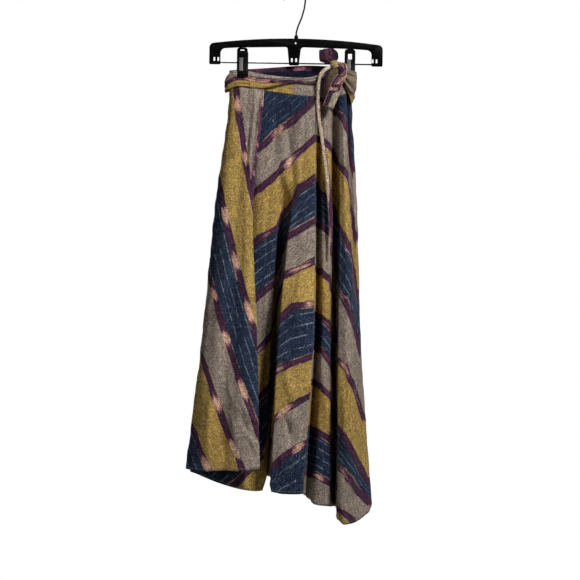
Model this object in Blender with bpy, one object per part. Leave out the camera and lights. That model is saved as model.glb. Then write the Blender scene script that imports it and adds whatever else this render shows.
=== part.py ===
"""Wrap skirt tied with a bow, hung from a clip hanger.

Metres, +Z up, the front of the skirt faces -Y.  The origin is the inside of the hanger's hook, where a
rail would carry it.  The tables are in millimetres: x from the line of the hook, y in depth, and drop down
from the hook.
"""
import math
from collections import namedtuple

import bmesh
import bpy
import numpy as np

MM = 0.001

# ---- cloth ----
PANEL_WALL = 1.4
BAND_WALL = 1.9
SASH_WALL = 1.6
TAIL_WALL = 1.8
SEAM_GAP = 0.3

PANEL_ROWS = 15
BAND_ROWS = 3
STEPS_PER_FOLD = 3

# Heights that the folds' columns are given at; the fourth height is each fold's own hem.
RIM_DROP = 172
WAIST_DROP = 209
HIP_DROP = 434
KNEE_DROP = 720

# ---- hanger ----
HANGER_CENTRE_X = 3.4
HANGER_TOP_DROP = 103
HANGER_TILT = math.radians(0.85)
HANGER_HALF_SPAN = 177.5
HANGER_DEPTH = 9
BAR_HEIGHT = 17.4
BAR_TOP_FALL = 12
BAR_UNDER_FALL = 5.3
LEG_WIDTH = 23
LEG_BOTTOM = 54.8
POST_CENTRE_X = -4
POST_TOP_WIDTH = 27
POST_BOTTOM_WIDTH = 20.5
CORNER_RADIUS = 10
LEG_CORNER_RADIUS = 2.5
POST_FILLET_LEFT = 4
POST_FILLET_RIGHT = 6
SLOT_WIDTH = 3.5
SLOT_HEIGHT = 8
SLOT_DROP = 44
WINDOW_X = -1
WINDOW_DROP = 9.4
WINDOW_WIDTH = 2.6
WINDOW_HEIGHT = 4
ROD_DROP = 50.9
ROD_DIAMETER = 3.0
ROD_HALF_LENGTH = 165
ROD_CLEARANCE = 0.3
BOSS_RADIUS = 4.2
BOSS_SHOULDER_RADIUS = 3.8
BOSS_TOP_RADIUS = 2.9
BOSS_HEIGHT = 7
BOSS_BORE_BOTTOM = 2.45
WIRE_DIAMETER = 3.4
WIRE_FOOT_RISE = 2.75
HOOK_RADIUS = 22.2
HOOK_CENTRE_DROP = 20.5
HOOK_TIP_ANGLE = 190

CLIP_WIDTH = 22
CLIP_WALL = 2.4
CLIP_SLOT_WIDTH = 8.2
CLIP_REACH = 14
CHEEK_WALL = 2
CHEEK_INSET = 0.5
CHEEK_HALF_HEIGHT = 4
SPRING_WIDTH = 8
SPRING_WALL = 0.9
SPRING_OFFSET = -2

# Each fold line runs from the waist to the hem.  They follow the cloth round once and a bit more: from the
# free edge of the underlap, over the front to the right side, round the back, and over the front again.
Fold = namedtuple(
    "Fold",
    "name x_waist x_hip x_knee x_hem y_rim y_waist y_hip y_knee y_hem top seam hem",
)
FOLDS = [
    #                     x: waist   hip  knee   hem  y: rim waist  hip  knee   hem  drop: top seam  hem
    Fold("underlap_edge",    -116, -148, -181, -214,  -1.8,   -3,   -8,   -8,   -6,   168,  200,  990),
    Fold("underlap_side",    -103, -124, -144, -169,  -2.2,   -5,  -14,  -16,  -10,   168,  200, 1005),
    Fold("underlap_mid",      -83,  -95, -106, -116,  -2.9,   -6,  -16,  -12,   -4,   176,  204, 1026),
    Fold("ridge_a_left",      -65,  -71,  -75,  -81,    -5,   -8,  -20,   -4,    2,   182,  209, 1029),
    Fold("ridge_a_right",     -50,  -37,  -50,  -66,    -7,   -9,  -22,    2,   10,   184,  211, 1028),
    Fold("valley_a_left",     -40,  -30,  -43,  -58,  -7.5,   -8,   -8,   22,   22,   185,  213, 1002),
    Fold("valley_a_right",    -33,  -20,  -38,  -53,    -8,   -9,   -7,   23,   22,   185,  214, 1002),
    Fold("ridge_b_left",      -20,   -4,  -33,  -47,    -9,  -12,  -30,  -53,  -57,   186,  216, 1028),
    Fold("ridge_b_mid",        -1,    8,   -9,  -28,  -9.5,  -15,  -36,  -57,  -60,   186,  219, 1033),
    Fold("ridge_b_front",      21,   25,   15,   -5,  -9.5,  -16,  -38,  -58,  -60,   186,  221, 1033),
    Fold("ridge_b_right",      41,   42,   38,   17,    -9,  -15,  -34,  -50,  -52,   186,  222, 1031),
    Fold("valley_b_left",      46,   46,   43,   23,    -8,   -1,   14,   20,   20,   186,  223, 1041),
    Fold("valley_b_right",     50,   50,   47,   28,    -8,   -1,   13,   18,   16,   186,  223, 1046),
    Fold("ridge_c_left",       56,   57,   56,   42,    -8,   -7,  -12,  -16,  -18,   186,  223, 1056),
    Fold("ridge_c_right",      70,   71,   72,   73,    -8,   -7,  -12,  -16,  -18,   184,  223, 1060),
    Fold("valley_c_left",      77,   80,   80,   81,    -7,   -1,   14,   18,   16,   182,  223, 1060),
    Fold("valley_c_right",     84,   88,   85,   84,    -7,   -1,   14,   18,   15,   182,  223, 1061),
    Fold("ridge_d_left",       91,   93,   90,   87,  -6.5,  -12,  -24,  -38,  -46,   178,  222, 1085),
    Fold("ridge_d_mid",        99,  103,  106,   99,    -4,  -14,  -30,  -46,  -58,   170,  219, 1096),
    Fold("ridge_d_right",     105,  111,  119,  119,  -2.5,  -10,  -22,  -36,  -48,   167,  217, 1092),
    Fold("crease_e",          107,  115,  125,  136,  -2.2,   -3,   -6,  -20,  -32,   166,  216, 1083),
    Fold("ridge_e",           112,  122,  131,  150,    -2,   -5,   -8,  -12,  -22,   166,  215, 1072),
    Fold("right_side",        116,  127,  135,  158,     0,    2,    8,    8,    4,   168,  214, 1057),
    Fold("back_1",            111,  119,  124,  142,     2,    8,   26,   32,   36,   166,  200, 1049),
    Fold("back_2",             99,   99,   97,  109,     3,   11,   36,   46,   56,   164,  197, 1041),
    Fold("back_3",             81,   74,   68,   74,   4.5,    9,   26,   32,   38,   161,  195, 1031),
    Fold("back_4",             60,   48,   38,   38,     6,   13,   38,   50,   60,   159,  194, 1020),
    Fold("back_5",             40,   21,    7,    1,   7.5,   10,   28,   36,   42,   158,  194, 1010),
    Fold("back_6",             17,   -5,  -24,  -36,   8.5,   14,   38,   50,   60,   158,  194,  999),
    Fold("back_7",             -7,  -34,  -56,  -75,     9,   11,   28,   38,   42,   159,  194,  990),
    Fold("back_8",            -32,  -63,  -89, -114,     8,   13,   36,   48,   58,   161,  195,  984),
    Fold("back_9",            -58,  -93, -122, -151,   5.5,   10,   26,   34,   40,   163,  196,  980),
    Fold("back_10",           -87, -122, -153, -183,   2.5,   11,   30,   38,   46,   165,  197,  980),
    Fold("back_11",          -110, -144, -175, -208,   1.3,    8,   20,   26,   30,   166,  198,  982),
    Fold("left_side",        -133, -161, -190, -223,     0,    1,    4,    4,    4,   168,  198,  984),
    Fold("flap_1",           -127, -151, -179, -208,    -4,   -9,  -20,  -24,  -26,   168,  198,  985),
    Fold("flap_2",           -112, -132, -155, -179,  -5.4,  -11,  -32,  -38,  -44,   168,  198,  986),
    Fold("flap_3",            -97, -116, -132, -148,  -5.8,  -12,  -30,  -34,  -38,   170,  200,  987),
    Fold("flap_4",            -79,  -97, -103, -112,    -7,  -14,  -36,  -46,  -54,   175,  202,  986),
    Fold("flap_edge",         -63,  -84,  -76,  -71,  -8.5,  -13,  -30,  -40,  -46,   178,  204,  983),
]

# Valley A opens only below the hip: points that its folds also pass through.
Bend = namedtuple("Bend", "fold drop x y")
BENDS = [
    Bend("valley_a_left", 385, -31, -19),
    Bend("valley_a_left", 515, -35, 13),
    Bend("valley_a_right", 385, -22, -20),
    Bend("valley_a_right", 515, -24, 14),
    Bend("ridge_b_left", 515, -13, -43),
]

# The gores are sewn along these fold lines.
GORES = [
    # node, first fold, last fold
    ("front_gore", "underlap_edge", "ridge_b_right"),
    ("side_gore", "ridge_b_right", "right_side"),
    ("back_gore_right", "right_side", "back_5"),
    ("back_gore_left", "back_5", "left_side"),
    ("flap_panel", "left_side", "flap_edge"),
]
WAISTBANDS = [
    ("waistband_front", "underlap_edge", "back_1"),
    ("waistband_back", "back_1", "back_11"),
    ("waistband_flap", "back_11", "flap_edge"),
]

# A section of the sash.  On the front or the back it lies on the cloth, and out is how far it stands off it.
# At the sides it is free, and out is its y.  roll is how far its soft rolls stand out, and lean how far its
# bottom edge leans in from x.
Section = namedtuple("Section", "x face out top bottom roll lean", defaults=(0,))
SASH_FRONT = [
    Section(74, "front", 1.5, 166, 180, 1.0),
    Section(56, "front", 1.0, 174, 190, 2.0),
    Section(40, "front", 0.6, 181, 197, 2.5),
    Section(16, "front", 0.6, 184, 195, 3.0),
    Section(-8, "front", 1.2, 183, 195, 3.5),
    Section(-30, "front", 2.0, 181, 199, 3.0),
    Section(-48, "front", 3.6, 179, 203, 3.0),
    Section(-64, "front", 0.8, 176.5, 205, 2.0),
    Section(-86, "front", 0.6, 172, 204, 1.0),
    Section(-106, "front", 0.3, 167, 201, 0.3),
    Section(-122, "front", 1.5, 167, 202, 1.5),
    Section(-137, "free", -5.5, 174, 209, 2.0),
    Section(-141, "free", 1.7, 184, 214, 2.0),
]
SASH_BACK = [
    Section(-141, "free", 2.8, 184, 214, 2.0),
    Section(-134, "free", 9.5, 178, 211, 1.5),
    Section(-120, "back", 1.5, 171, 206, 0.6),
    Section(-106, "back", 0.3, 168, 203, 0.3),
    Section(-84, "back", 0.6, 170, 204, 1.5),
    Section(-52, "back", 1.2, 173, 206, 2.5),
    Section(-14, "back", 1.3, 177, 209, 3.0),
    Section(26, "back", 1.0, 180, 212, 3.0),
    Section(62, "back", 1.0, 183, 213, 2.5),
    Section(92, "back", 1.4, 186, 214, 2.0),
    Section(108, "back", 2.4, 187, 220, 1.0),
    Section(126, "free", 3.9, 184, 233, 0.8, -7),
]
SASH_SIDE = [
    Section(126, "free", 3.0, 184, 233, 0.8, -7),
    Section(126.6, "free", -6.5, 174, 237, 0.5, -10),
    Section(125, "free", -13.7, 171, 234, 1.0, -9),
    Section(119, "free", -16.5, 170, 224, 2.5, -6),
    Section(109, "free", -17.5, 166, 210, 2.5, -2),
    Section(100, "free", -17.5, 160, 196, 2.0),
    Section(92.6, "free", -17.6, 153, 184, 0.4),
]

# A section of a tie's end or loop: its left and its right edge, each as x, y and drop.
Edges = namedtuple("Edges", "x_left y_left drop_left x_right y_right drop_right")
LOOP_UPPER = [
    Edges(72, -10.2, 157, 88, -10.2, 147),
    Edges(59, -16.0, 153, 89.5, -16.0, 140.5),
    Edges(50.5, -18.0, 147, 87, -20.0, 131),
    Edges(50, -14.0, 131, 80, -16.0, 124.5),
    Edges(52, -8.5, 128, 79, -10.0, 126),
    Edges(53, -5.8, 138, 84, -6.5, 134),
    Edges(61, -5.6, 150, 86, -6.0, 141),
    Edges(72, -7.4, 156, 88, -7.4, 146),
]
LOOP_LOWER = [
    Edges(75, -19.0, 165.8, 89, -19.0, 165.4),
    Edges(62, -25.5, 180, 88, -26.0, 179),
    Edges(58, -28.0, 198, 85, -28.5, 198),
    Edges(57, -28.0, 216, 82, -28.5, 216),
    Edges(57.5, -25.5, 227, 80, -26.0, 229),
    Edges(58.5, -23.0, 218, 80, -23.5, 219),
    Edges(60, -22.4, 203, 82, -22.8, 203),
    Edges(63, -21.6, 189, 84, -21.8, 190),
]
TAIL_SHORT = [
    Edges(91.8, -21.0, 161, 90.8, -21.8, 151.5),
    Edges(94, -24.5, 172, 105, -27.0, 156),
    Edges(92, -31.0, 178, 107, -32.0, 172),
    Edges(87, -34.0, 178, 104.5, -36.0, 186),
    Edges(82, -34.5, 184, 98, -36.5, 196),
    Edges(74, -33.5, 196, 94, -35.5, 210),
    Edges(66, -32.5, 218, 87, -34.0, 229),
    Edges(57, -31.5, 240, 78, -32.5, 249),
]
TAIL_LONG = [
    Edges(71.6, -19.0, 159, 74.6, -19.2, 164.4),
    Edges(56, -23.5, 168, 61, -24.0, 174.5),
    Edges(48, -24.5, 183, 54.5, -25.0, 186),
    Edges(45.5, -24.5, 204, 52.5, -25.0, 204),
    Edges(44.5, -24.0, 232, 51.5, -24.5, 232),
    Edges(46, -24.0, 260, 53, -24.5, 260),
    Edges(50, -24.0, 292, 57.5, -24.5, 291),
    Edges(56, -24.0, 332, 64, -24.5, 331),
    Edges(62, -25.0, 378, 70.5, -25.5, 377),
    Edges(67, -26.0, 434, 76, -26.5, 433),
    Edges(70.5, -27.0, 490, 78, -27.5, 489),
    Edges(72.5, -28.0, 546, 76.5, -28.3, 546),
]
KNOT_CENTRE = (82.5, -18.0, 157)
KNOT_SIZE = (21, 13, 17)
KNOT_WAIST = 0.07

# The pairs of slots in the hanger's legs and post: a pair's middle, and half the distance between its slots.
SlotPair = namedtuple("SlotPair", "middle half_pitch")
SLOT_PAIRS = [
    SlotPair(-163, 4),
    SlotPair(POST_CENTRE_X, 4.4),
    SlotPair(161, 4),
]

# The hook's wire on its way up from the boss, before its round bend: x and drop.
HOOK_STEM = [(7, 78), (14.6, 60), (20, 41), (22.1, 26)]

# A clip's leaves and its spring strip from the side, as middle lines: how far each point stands off the plane
# of the rod, and its height.
Leaf = namedtuple("Leaf", "stand z")
BACK_LEAF = [Leaf(7.0, -19.5), Leaf(6.0, -36), Leaf(5.4, -51), Leaf(6.8, -64), Leaf(9.0, -80)]
FRONT_LEAF = [Leaf(7.0, -36), Leaf(7.2, -51), Leaf(10.2, -64), Leaf(12.9, -80)]
SPRING = [Leaf(10.2, -41), Leaf(9.6, -46), Leaf(9.7, -53), Leaf(12.1, -62), Leaf(13.3, -68)]
FRONT_LEAF_TOP_STAND = 7.6
CHEEK_FRONT = -5.3
CHEEK_BACK = 3.7
BACK_SLOT = (-23.5, -40.5)

# The right clip's front leaf reaches higher than the left one's, and has a slot too.  The left one's sits a
# little to the right of its back leaf.
Clip = namedtuple("Clip", "name x front_shift front_top front_slot")
CLIPS = [
    Clip("clip_left", -110, 1.5, -26.5, None),
    Clip("clip_right", 110.5, 0, -21, (-30, -45)),
]

SMOOTH_NODES = [row[0] for row in GORES + WAISTBANDS] + [
    "sash_front",
    "sash_back",
    "sash_side",
    "bow_knot",
    "bow_loop_upper",
    "bow_loop_lower",
    "tie_tail_short",
    "tie_tail_long",
]

COLOURS = {
    "cotton_gold": (0.31, 0.21, 0.08, 1),
    "cotton_grey": (0.24, 0.19, 0.16, 1),
    "cotton_blue": (0.03, 0.05, 0.10, 1),
    "cotton_purple": (0.10, 0.03, 0.09, 1),
    "black_plastic": (0.008, 0.008, 0.009, 1),
    "steel": (0.45, 0.45, 0.46, 1),
}


def clear_scene():
    for obj in list(bpy.data.objects):
        bpy.data.objects.remove(obj, do_unlink=True)


def material(name, colour, roughness=0.9, metallic=0.0):
    made = bpy.data.materials.new(name)
    made.use_nodes = True
    shader = made.node_tree.nodes["Principled BSDF"]
    shader.inputs["Base Color"].default_value = COLOURS[colour]
    shader.inputs["Roughness"].default_value = roughness
    shader.inputs["Metallic"].default_value = metallic
    return made


def add_mesh(name, points, faces, finish):
    """One object from points in millimetres, its faces turned outwards."""
    mesh = bpy.data.meshes.new(name)
    mesh.from_pydata([tuple(MM * float(c) for c in point) for point in points], [], faces)
    shape = bmesh.new()
    shape.from_mesh(mesh)
    bmesh.ops.recalc_face_normals(shape, faces=shape.faces)
    shape.to_mesh(mesh)
    shape.free()
    mesh.materials.append(finish)
    obj = bpy.data.objects.new(name, mesh)
    bpy.context.collection.objects.link(obj)
    return obj


# ---- curves ----


def through(knots, values, at):
    """A smooth curve through (knots, values), read at the places in at."""
    knots = np.asarray(knots, float)
    values = np.asarray(values, float)
    slopes = np.gradient(values, knots, axis=0)
    index = np.clip(np.searchsorted(knots, at, side="right") - 1, 0, len(knots) - 2)
    width = knots[index + 1] - knots[index]
    t = (at - knots[index]) / width
    shape = (slice(None),) + (None,) * (values.ndim - 1)
    t, width = t[shape], width[shape]
    return (
        (2 * t**3 - 3 * t**2 + 1) * values[index]
        + (t**3 - 2 * t**2 + t) * width * slopes[index]
        + (3 * t**2 - 2 * t**3) * values[index + 1]
        + (t**3 - t**2) * width * slopes[index + 1]
    )


def chain(points, steps):
    """A smooth line through the points, with the given number of steps between two of them."""
    points = np.asarray(points, float)
    spans = np.linalg.norm(np.diff(points[:, :2], axis=0), axis=1) ** 0.5
    knots = np.concatenate([[0], np.cumsum(spans)])
    at = np.interp(np.arange((len(points) - 1) * steps + 1) / steps, np.arange(len(points)), knots)
    return through(knots, points, at)


def fold_point(fold, drop):
    """Where a fold line is at a drop: x, y and z."""
    run = [
        (RIM_DROP, fold.x_waist, fold.y_rim),
        (WAIST_DROP, fold.x_waist, fold.y_waist),
        (HIP_DROP, fold.x_hip, fold.y_hip),
        (KNEE_DROP, fold.x_knee, fold.y_knee),
        (fold.hem, fold.x_hem, fold.y_hem),
    ]
    run += [(bend.drop, bend.x, bend.y) for bend in BENDS if bend.fold == fold.name]
    run = np.array(sorted(run), float)
    x, y = through(run[:, 0], run[:, 1:], np.array([float(drop)]))[0]
    return (x, y, -drop)


def fold_number(name):
    return [fold.name for fold in FOLDS].index(name)


def whole_cloth(start, end, rows):
    """Points of the whole length of cloth and their normals; start and end give each fold's own drops."""
    grid = []
    for row in range(rows):
        part = row / (rows - 1)
        line = [fold_point(fold, start(fold) + (end(fold) - start(fold)) * part) for fold in FOLDS]
        grid.append(chain(line, STEPS_PER_FOLD))
    grid = np.array(grid)
    return grid, grid_normals(grid)


def between(cloth, first, last):
    """The points and normals of the cloth from one fold line to another."""
    columns = slice(fold_number(first) * STEPS_PER_FOLD, fold_number(last) * STEPS_PER_FOLD + 1)
    grid, normals = cloth
    return part_seams(grid[:, columns].copy()), normals[:, columns]


def part_seams(grid):
    """Draw both side edges in by half the gap that is left along a seam."""
    for edge, inner in ((0, 1), (-1, -2)):
        along = grid[:, inner] - grid[:, edge]
        along /= np.linalg.norm(along, axis=1)[:, None]
        grid[:, edge] += along * SEAM_GAP / 2
    return grid


# ---- cloth walls ----


def grid_normals(grid):
    down = np.gradient(grid, axis=0)
    across = np.gradient(grid, axis=1)
    normals = np.cross(down, across)
    return normals / np.linalg.norm(normals, axis=2)[:, :, None]


def wall(name, grid, thickness, finish, normals=None):
    """A cloth wall about a grid of points."""
    rows, columns = grid.shape[:2]
    side = (grid_normals(grid) if normals is None else normals) * thickness / 2
    points = np.concatenate([(grid + side).reshape(-1, 3), (grid - side).reshape(-1, 3)])
    back = rows * columns

    def at(row, column, layer=0):
        return row * columns + column + layer * back

    faces = []
    for row in range(rows - 1):
        for column in range(columns - 1):
            ring = [(row, column), (row, column + 1), (row + 1, column + 1), (row + 1, column)]
            faces.append([at(*corner) for corner in ring])
            faces.append([at(*corner, 1) for corner in reversed(ring)])
        for column in (0, columns - 1):
            faces.append([at(row, column), at(row + 1, column), at(row + 1, column, 1), at(row, column, 1)])
    for row in (0, rows - 1):
        for column in range(columns - 1):
            faces.append([at(row, column), at(row, column + 1), at(row, column + 1, 1), at(row, column, 1)])
    return add_mesh(name, points, faces, finish)


def make_gores():
    finishes = {
        "front_gore": material("front_cotton", "cotton_grey"),
        "side_gore": material("side_cotton", "cotton_gold"),
        "back_gore_right": material("back_right_cotton", "cotton_blue"),
        "back_gore_left": material("back_left_cotton", "cotton_grey"),
        "flap_panel": material("flap_cotton", "cotton_gold"),
    }
    cloth = whole_cloth(lambda fold: fold.seam + SEAM_GAP, lambda fold: fold.hem, PANEL_ROWS)
    for node, first, last in GORES:
        grid, normals = between(cloth, first, last)
        wall(node, grid, PANEL_WALL, finishes[node], normals)


def make_waistbands():
    finish = material("waistband_cotton", "cotton_purple")
    cloth = whole_cloth(lambda fold: fold.top, lambda fold: fold.seam, BAND_ROWS)
    for node, first, last in WAISTBANDS:
        grid, normals = between(cloth, first, last)
        wall(node, grid, BAND_WALL, finish, normals)


def cloth_face(x, drop, face):
    """The depth of the outermost layer of cloth at x, on the front or the back."""
    line = chain([fold_point(fold, drop) for fold in FOLDS], STEPS_PER_FOLD)
    depths = []
    for (x1, y1, _), (x2, y2, _) in zip(line, line[1:]):
        if x1 != x2 and min(x1, x2) <= x <= max(x1, x2):
            depths.append(y1 + (y2 - y1) * (x - x1) / (x2 - x1))
    return min(depths) if face == "front" else max(depths)


def sash_edge(section, drop):
    """The depth of an edge of the sash."""
    if section.face == "free":
        return section.out
    stand = section.out + BAND_WALL / 2 + SEAM_GAP + SASH_WALL / 2
    return cloth_face(section.x, drop, section.face) + (stand if section.face == "back" else -stand)


def sash_grid(sections, steps=2, across=6):
    """The sash as a band of soft rolls that run along it."""
    rows = []
    for s in sections:
        rows.append((s.x, sash_edge(s, s.top), sash_edge(s, s.bottom), s.top, s.bottom, s.roll, s.lean))
    path = chain(rows, steps)
    tangent = np.gradient(path[:, :2], axis=0)
    outward = np.column_stack([-tangent[:, 1], tangent[:, 0]])
    outward /= np.linalg.norm(outward, axis=1)[:, None]
    grid = []
    for (x, y_top, y_bottom, top, bottom, roll, lean), (out_x, out_y) in zip(path, outward):
        line = []
        for step in range(across + 1):
            part = step / across
            rise = roll * (0.6 * math.sin(math.pi * part) + 0.4 * math.sin(3 * math.pi * part) ** 2)
            y = y_top + (y_bottom - y_top) * part
            line.append((x + lean * part**2 + out_x * rise, y + out_y * rise, -(top + (bottom - top) * part)))
        grid.append(line)
    return part_rows(np.array(grid))


def part_rows(grid):
    """Draw both ends in by half the gap that is left along a seam."""
    return part_seams(grid.transpose(1, 0, 2)).transpose(1, 0, 2)


def make_sash():
    finish = material("sash_cotton", "cotton_gold")
    for node, sections in (("sash_front", SASH_FRONT), ("sash_back", SASH_BACK), ("sash_side", SASH_SIDE)):
        wall(node, sash_grid(sections), SASH_WALL, finish)


def tie_grid(sections, crown, steps=3, across=4):
    """A strip of the tie between its two edges, crowned towards the front across its width."""
    path = chain([tuple(section) for section in sections], steps)
    grid = []
    for x_left, y_left, drop_left, x_right, y_right, drop_right in path:
        line = []
        for step in range(across + 1):
            part = step / across
            line.append(
                (
                    x_left + (x_right - x_left) * part,
                    y_left + (y_right - y_left) * part - crown * math.sin(math.pi * part),
                    -(drop_left + (drop_right - drop_left) * part),
                )
            )
        grid.append(line)
    return np.array(grid)


def make_bow():
    sash = material("tie_cotton", "cotton_grey")
    wall("bow_loop_upper", tie_grid(LOOP_UPPER, 0.8), TAIL_WALL, material("loop_cotton", "cotton_purple"))
    wall("bow_loop_lower", tie_grid(LOOP_LOWER, 0.8), TAIL_WALL, sash)
    wall("tie_tail_short", tie_grid(TAIL_SHORT, 0.6), TAIL_WALL, sash)
    wall("tie_tail_long", tie_grid(TAIL_LONG, 0.8, across=3), TAIL_WALL, sash)
    make_knot()


def make_knot():
    """A soft lump, waisted where the tie is wound round it."""
    rings, sides = 12, 16
    points = [(0, 0, 1)]
    for ring in range(1, rings):
        polar = math.pi * ring / rings
        for side in range(sides):
            turn = 2 * math.pi * side / sides
            swell = 1 - KNOT_WAIST * math.cos(4 * polar) * math.cos(turn) ** 2
            out = math.sin(polar)
            points.append((out * math.cos(turn) * swell, out * math.sin(turn), math.cos(polar)))
    points.append((0, 0, -1))
    faces = []
    for side in range(sides):
        after = (side + 1) % sides
        faces.append([0, 1 + side, 1 + after])
        faces.append([len(points) - 1, 1 + (rings - 2) * sides + after, 1 + (rings - 2) * sides + side])
        for ring in range(rings - 2):
            low = 1 + ring * sides
            faces.append([low + side, low + sides + side, low + sides + after, low + after])
    x, y, drop = KNOT_CENTRE
    placed = np.array(points) * np.array(KNOT_SIZE) / 2 + np.array((x, y, -drop))
    add_mesh("bow_knot", placed, faces, material("knot_cotton", "cotton_gold"))


# ---- hanger, in its own frame: x from its middle, z up from the middle of its top edge ----


def arc(centre_x, centre_z, radius, start, end, steps=5):
    """Points of an arc, its angles in degrees."""
    turns = [math.radians(start + (end - start) * step / steps) for step in range(steps + 1)]
    return [(centre_x + radius * math.cos(turn), centre_z + radius * math.sin(turn)) for turn in turns]


def bar_top(x):
    return -BAR_TOP_FALL * (x / HANGER_HALF_SPAN) ** 2


def bar_under(x):
    return -BAR_HEIGHT - BAR_UNDER_FALL * (x / HANGER_HALF_SPAN) ** 2


def hanger_outline():
    """The body seen from the front, anticlockwise from the left leg's outer foot."""
    end = HANGER_HALF_SPAN
    inner = end - LEG_WIDTH
    foot = LEG_CORNER_RADIUS
    left = arc(-end + foot, -LEG_BOTTOM + foot, foot, 180, 270, 3)
    left += arc(-inner - foot, -LEG_BOTTOM + foot, foot, 270, 360, 3)
    left += arc(-inner + CORNER_RADIUS, bar_under(inner) - CORNER_RADIUS, CORNER_RADIUS, 180, 90)
    left += [(x, bar_under(x)) for x in (-120, -80, -45)]
    half_top = POST_TOP_WIDTH / 2
    half_bottom = POST_BOTTOM_WIDTH / 2
    fillet = POST_FILLET_LEFT
    post = arc(POST_CENTRE_X - half_top - fillet, bar_under(0) - fillet, fillet, 90, 0, 3)
    post += arc(POST_CENTRE_X - half_bottom + foot, -LEG_BOTTOM + foot, foot, 180, 270, 3)
    post += arc(POST_CENTRE_X + half_bottom - foot, -LEG_BOTTOM + foot, foot, 270, 360, 3)
    fillet = POST_FILLET_RIGHT
    post += arc(POST_CENTRE_X + half_top + fillet, bar_under(0) - fillet, fillet, 180, 90, 3)
    right = [(x, bar_under(x)) for x in (45, 80, 120)]
    right += arc(inner - CORNER_RADIUS, bar_under(inner) - CORNER_RADIUS, CORNER_RADIUS, 90, 0)
    right += arc(inner + foot, -LEG_BOTTOM + foot, foot, 180, 270, 3)
    right += arc(end - foot, -LEG_BOTTOM + foot, foot, 270, 360, 3)
    top_centre = bar_top(end - CORNER_RADIUS) - CORNER_RADIUS
    right += arc(end - CORNER_RADIUS, top_centre, CORNER_RADIUS, 0, 90)
    top = [(x, bar_top(x)) for x in (140, 110, 80, 50, 25, 0, -25, -50, -80, -110, -140)]
    top += arc(-end + CORNER_RADIUS, top_centre, CORNER_RADIUS, 90, 180)
    return left + post + right + top


def prism(name, outline, y_front, y_back, finish, parent):
    """An outline in x and z, drawn out in depth."""
    count = len(outline)
    points = [(x, y_front, z) for x, z in outline] + [(x, y_back, z) for x, z in outline]
    faces = [list(range(count)), list(range(2 * count - 1, count - 1, -1))]
    for index in range(count):
        after = (index + 1) % count
        faces.append([index, index + count, after + count, after])
    obj = add_mesh(name, points, faces, finish)
    obj.parent = parent
    return obj


def side_prism(name, outline, x_left, x_right, finish, parent):
    """An outline in y and z, drawn out across."""
    count = len(outline)
    points = [(x_left, y, z) for y, z in outline] + [(x_right, y, z) for y, z in outline]
    faces = [list(range(count)), list(range(2 * count - 1, count - 1, -1))]
    for index in range(count):
        after = (index + 1) % count
        faces.append([index, index + count, after + count, after])
    obj = add_mesh(name, points, faces, finish)
    obj.parent = parent
    return obj


def cylinder_along_x(name, x_left, x_right, z, diameter, finish, parent, sides=12):
    ring = [(diameter / 2 * math.cos(turn), z + diameter / 2 * math.sin(turn)) for turn in turns_of(sides)]
    return side_prism(name, ring, x_left, x_right, finish, parent)


def turns_of(sides):
    return [2 * math.pi * side / sides for side in range(sides)]


def as_cutter(obj):
    obj.hide_render = True
    obj.display_type = "WIRE"
    return obj


def cut(obj, cutter):
    step = obj.modifiers.new("cut_" + cutter.name, "BOOLEAN")
    step.operation = "DIFFERENCE"
    step.solver = "EXACT"
    step.object = cutter


def box_outline(centre_x, centre_z, width, height):
    left, right = centre_x - width / 2, centre_x + width / 2
    low, high = centre_z - height / 2, centre_z + height / 2
    return [(left, low), (right, low), (right, high), (left, high)]


def make_hanger_body(parent, plastic):
    body = prism("hanger_body", hanger_outline(), -HANGER_DEPTH / 2, HANGER_DEPTH / 2, plastic, parent)
    for number, pair in enumerate(SLOT_PAIRS):
        for side, place in (("left", -pair.half_pitch), ("right", pair.half_pitch)):
            outline = box_outline(pair.middle + place, -SLOT_DROP, SLOT_WIDTH, SLOT_HEIGHT)
            name = f"slot_cutter_{number}_{side}"
            cut(body, as_cutter(prism(name, outline, -HANGER_DEPTH, HANGER_DEPTH, plastic, parent)))
    window = box_outline(WINDOW_X, -WINDOW_DROP, WINDOW_WIDTH, WINDOW_HEIGHT)
    cut(body, as_cutter(prism("window_cutter", window, -HANGER_DEPTH, HANGER_DEPTH, plastic, parent)))
    bore = ROD_DIAMETER + 2 * ROD_CLEARANCE
    reach = ROD_HALF_LENGTH + 1
    cut(body, as_cutter(cylinder_along_x("rod_cutter", -reach, reach, -ROD_DROP, bore, plastic, parent)))


def make_boss(parent, plastic):
    """The turned boss that the hook swivels in, with a blind bore."""
    bore = WIRE_DIAMETER / 2 + SEAM_GAP
    profile = [
        (0, SEAM_GAP),
        (BOSS_RADIUS, SEAM_GAP),
        (BOSS_SHOULDER_RADIUS, BOSS_HEIGHT * 0.6),
        (BOSS_TOP_RADIUS, BOSS_HEIGHT),
        (bore, BOSS_HEIGHT),
        (bore, BOSS_BORE_BOTTOM),
        (0, BOSS_BORE_BOTTOM),
    ]
    sides = 16
    points = [(0, 0, profile[0][1])]
    for radius, z in profile[1:-1]:
        points += [(radius * math.cos(turn), radius * math.sin(turn), z) for turn in turns_of(sides)]
    points.append((0, 0, profile[-1][1]))
    rings = len(profile) - 2
    faces = []
    for side in range(sides):
        after = (side + 1) % sides
        faces.append([0, 1 + side, 1 + after])
        faces.append([len(points) - 1, 1 + (rings - 1) * sides + side, 1 + (rings - 1) * sides + after])
        for ring in range(rings - 1):
            low = 1 + ring * sides
            faces.append([low + side, low + after, low + sides + after, low + sides + side])
    add_mesh("hanger_boss", points, faces, plastic).parent = parent


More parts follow.
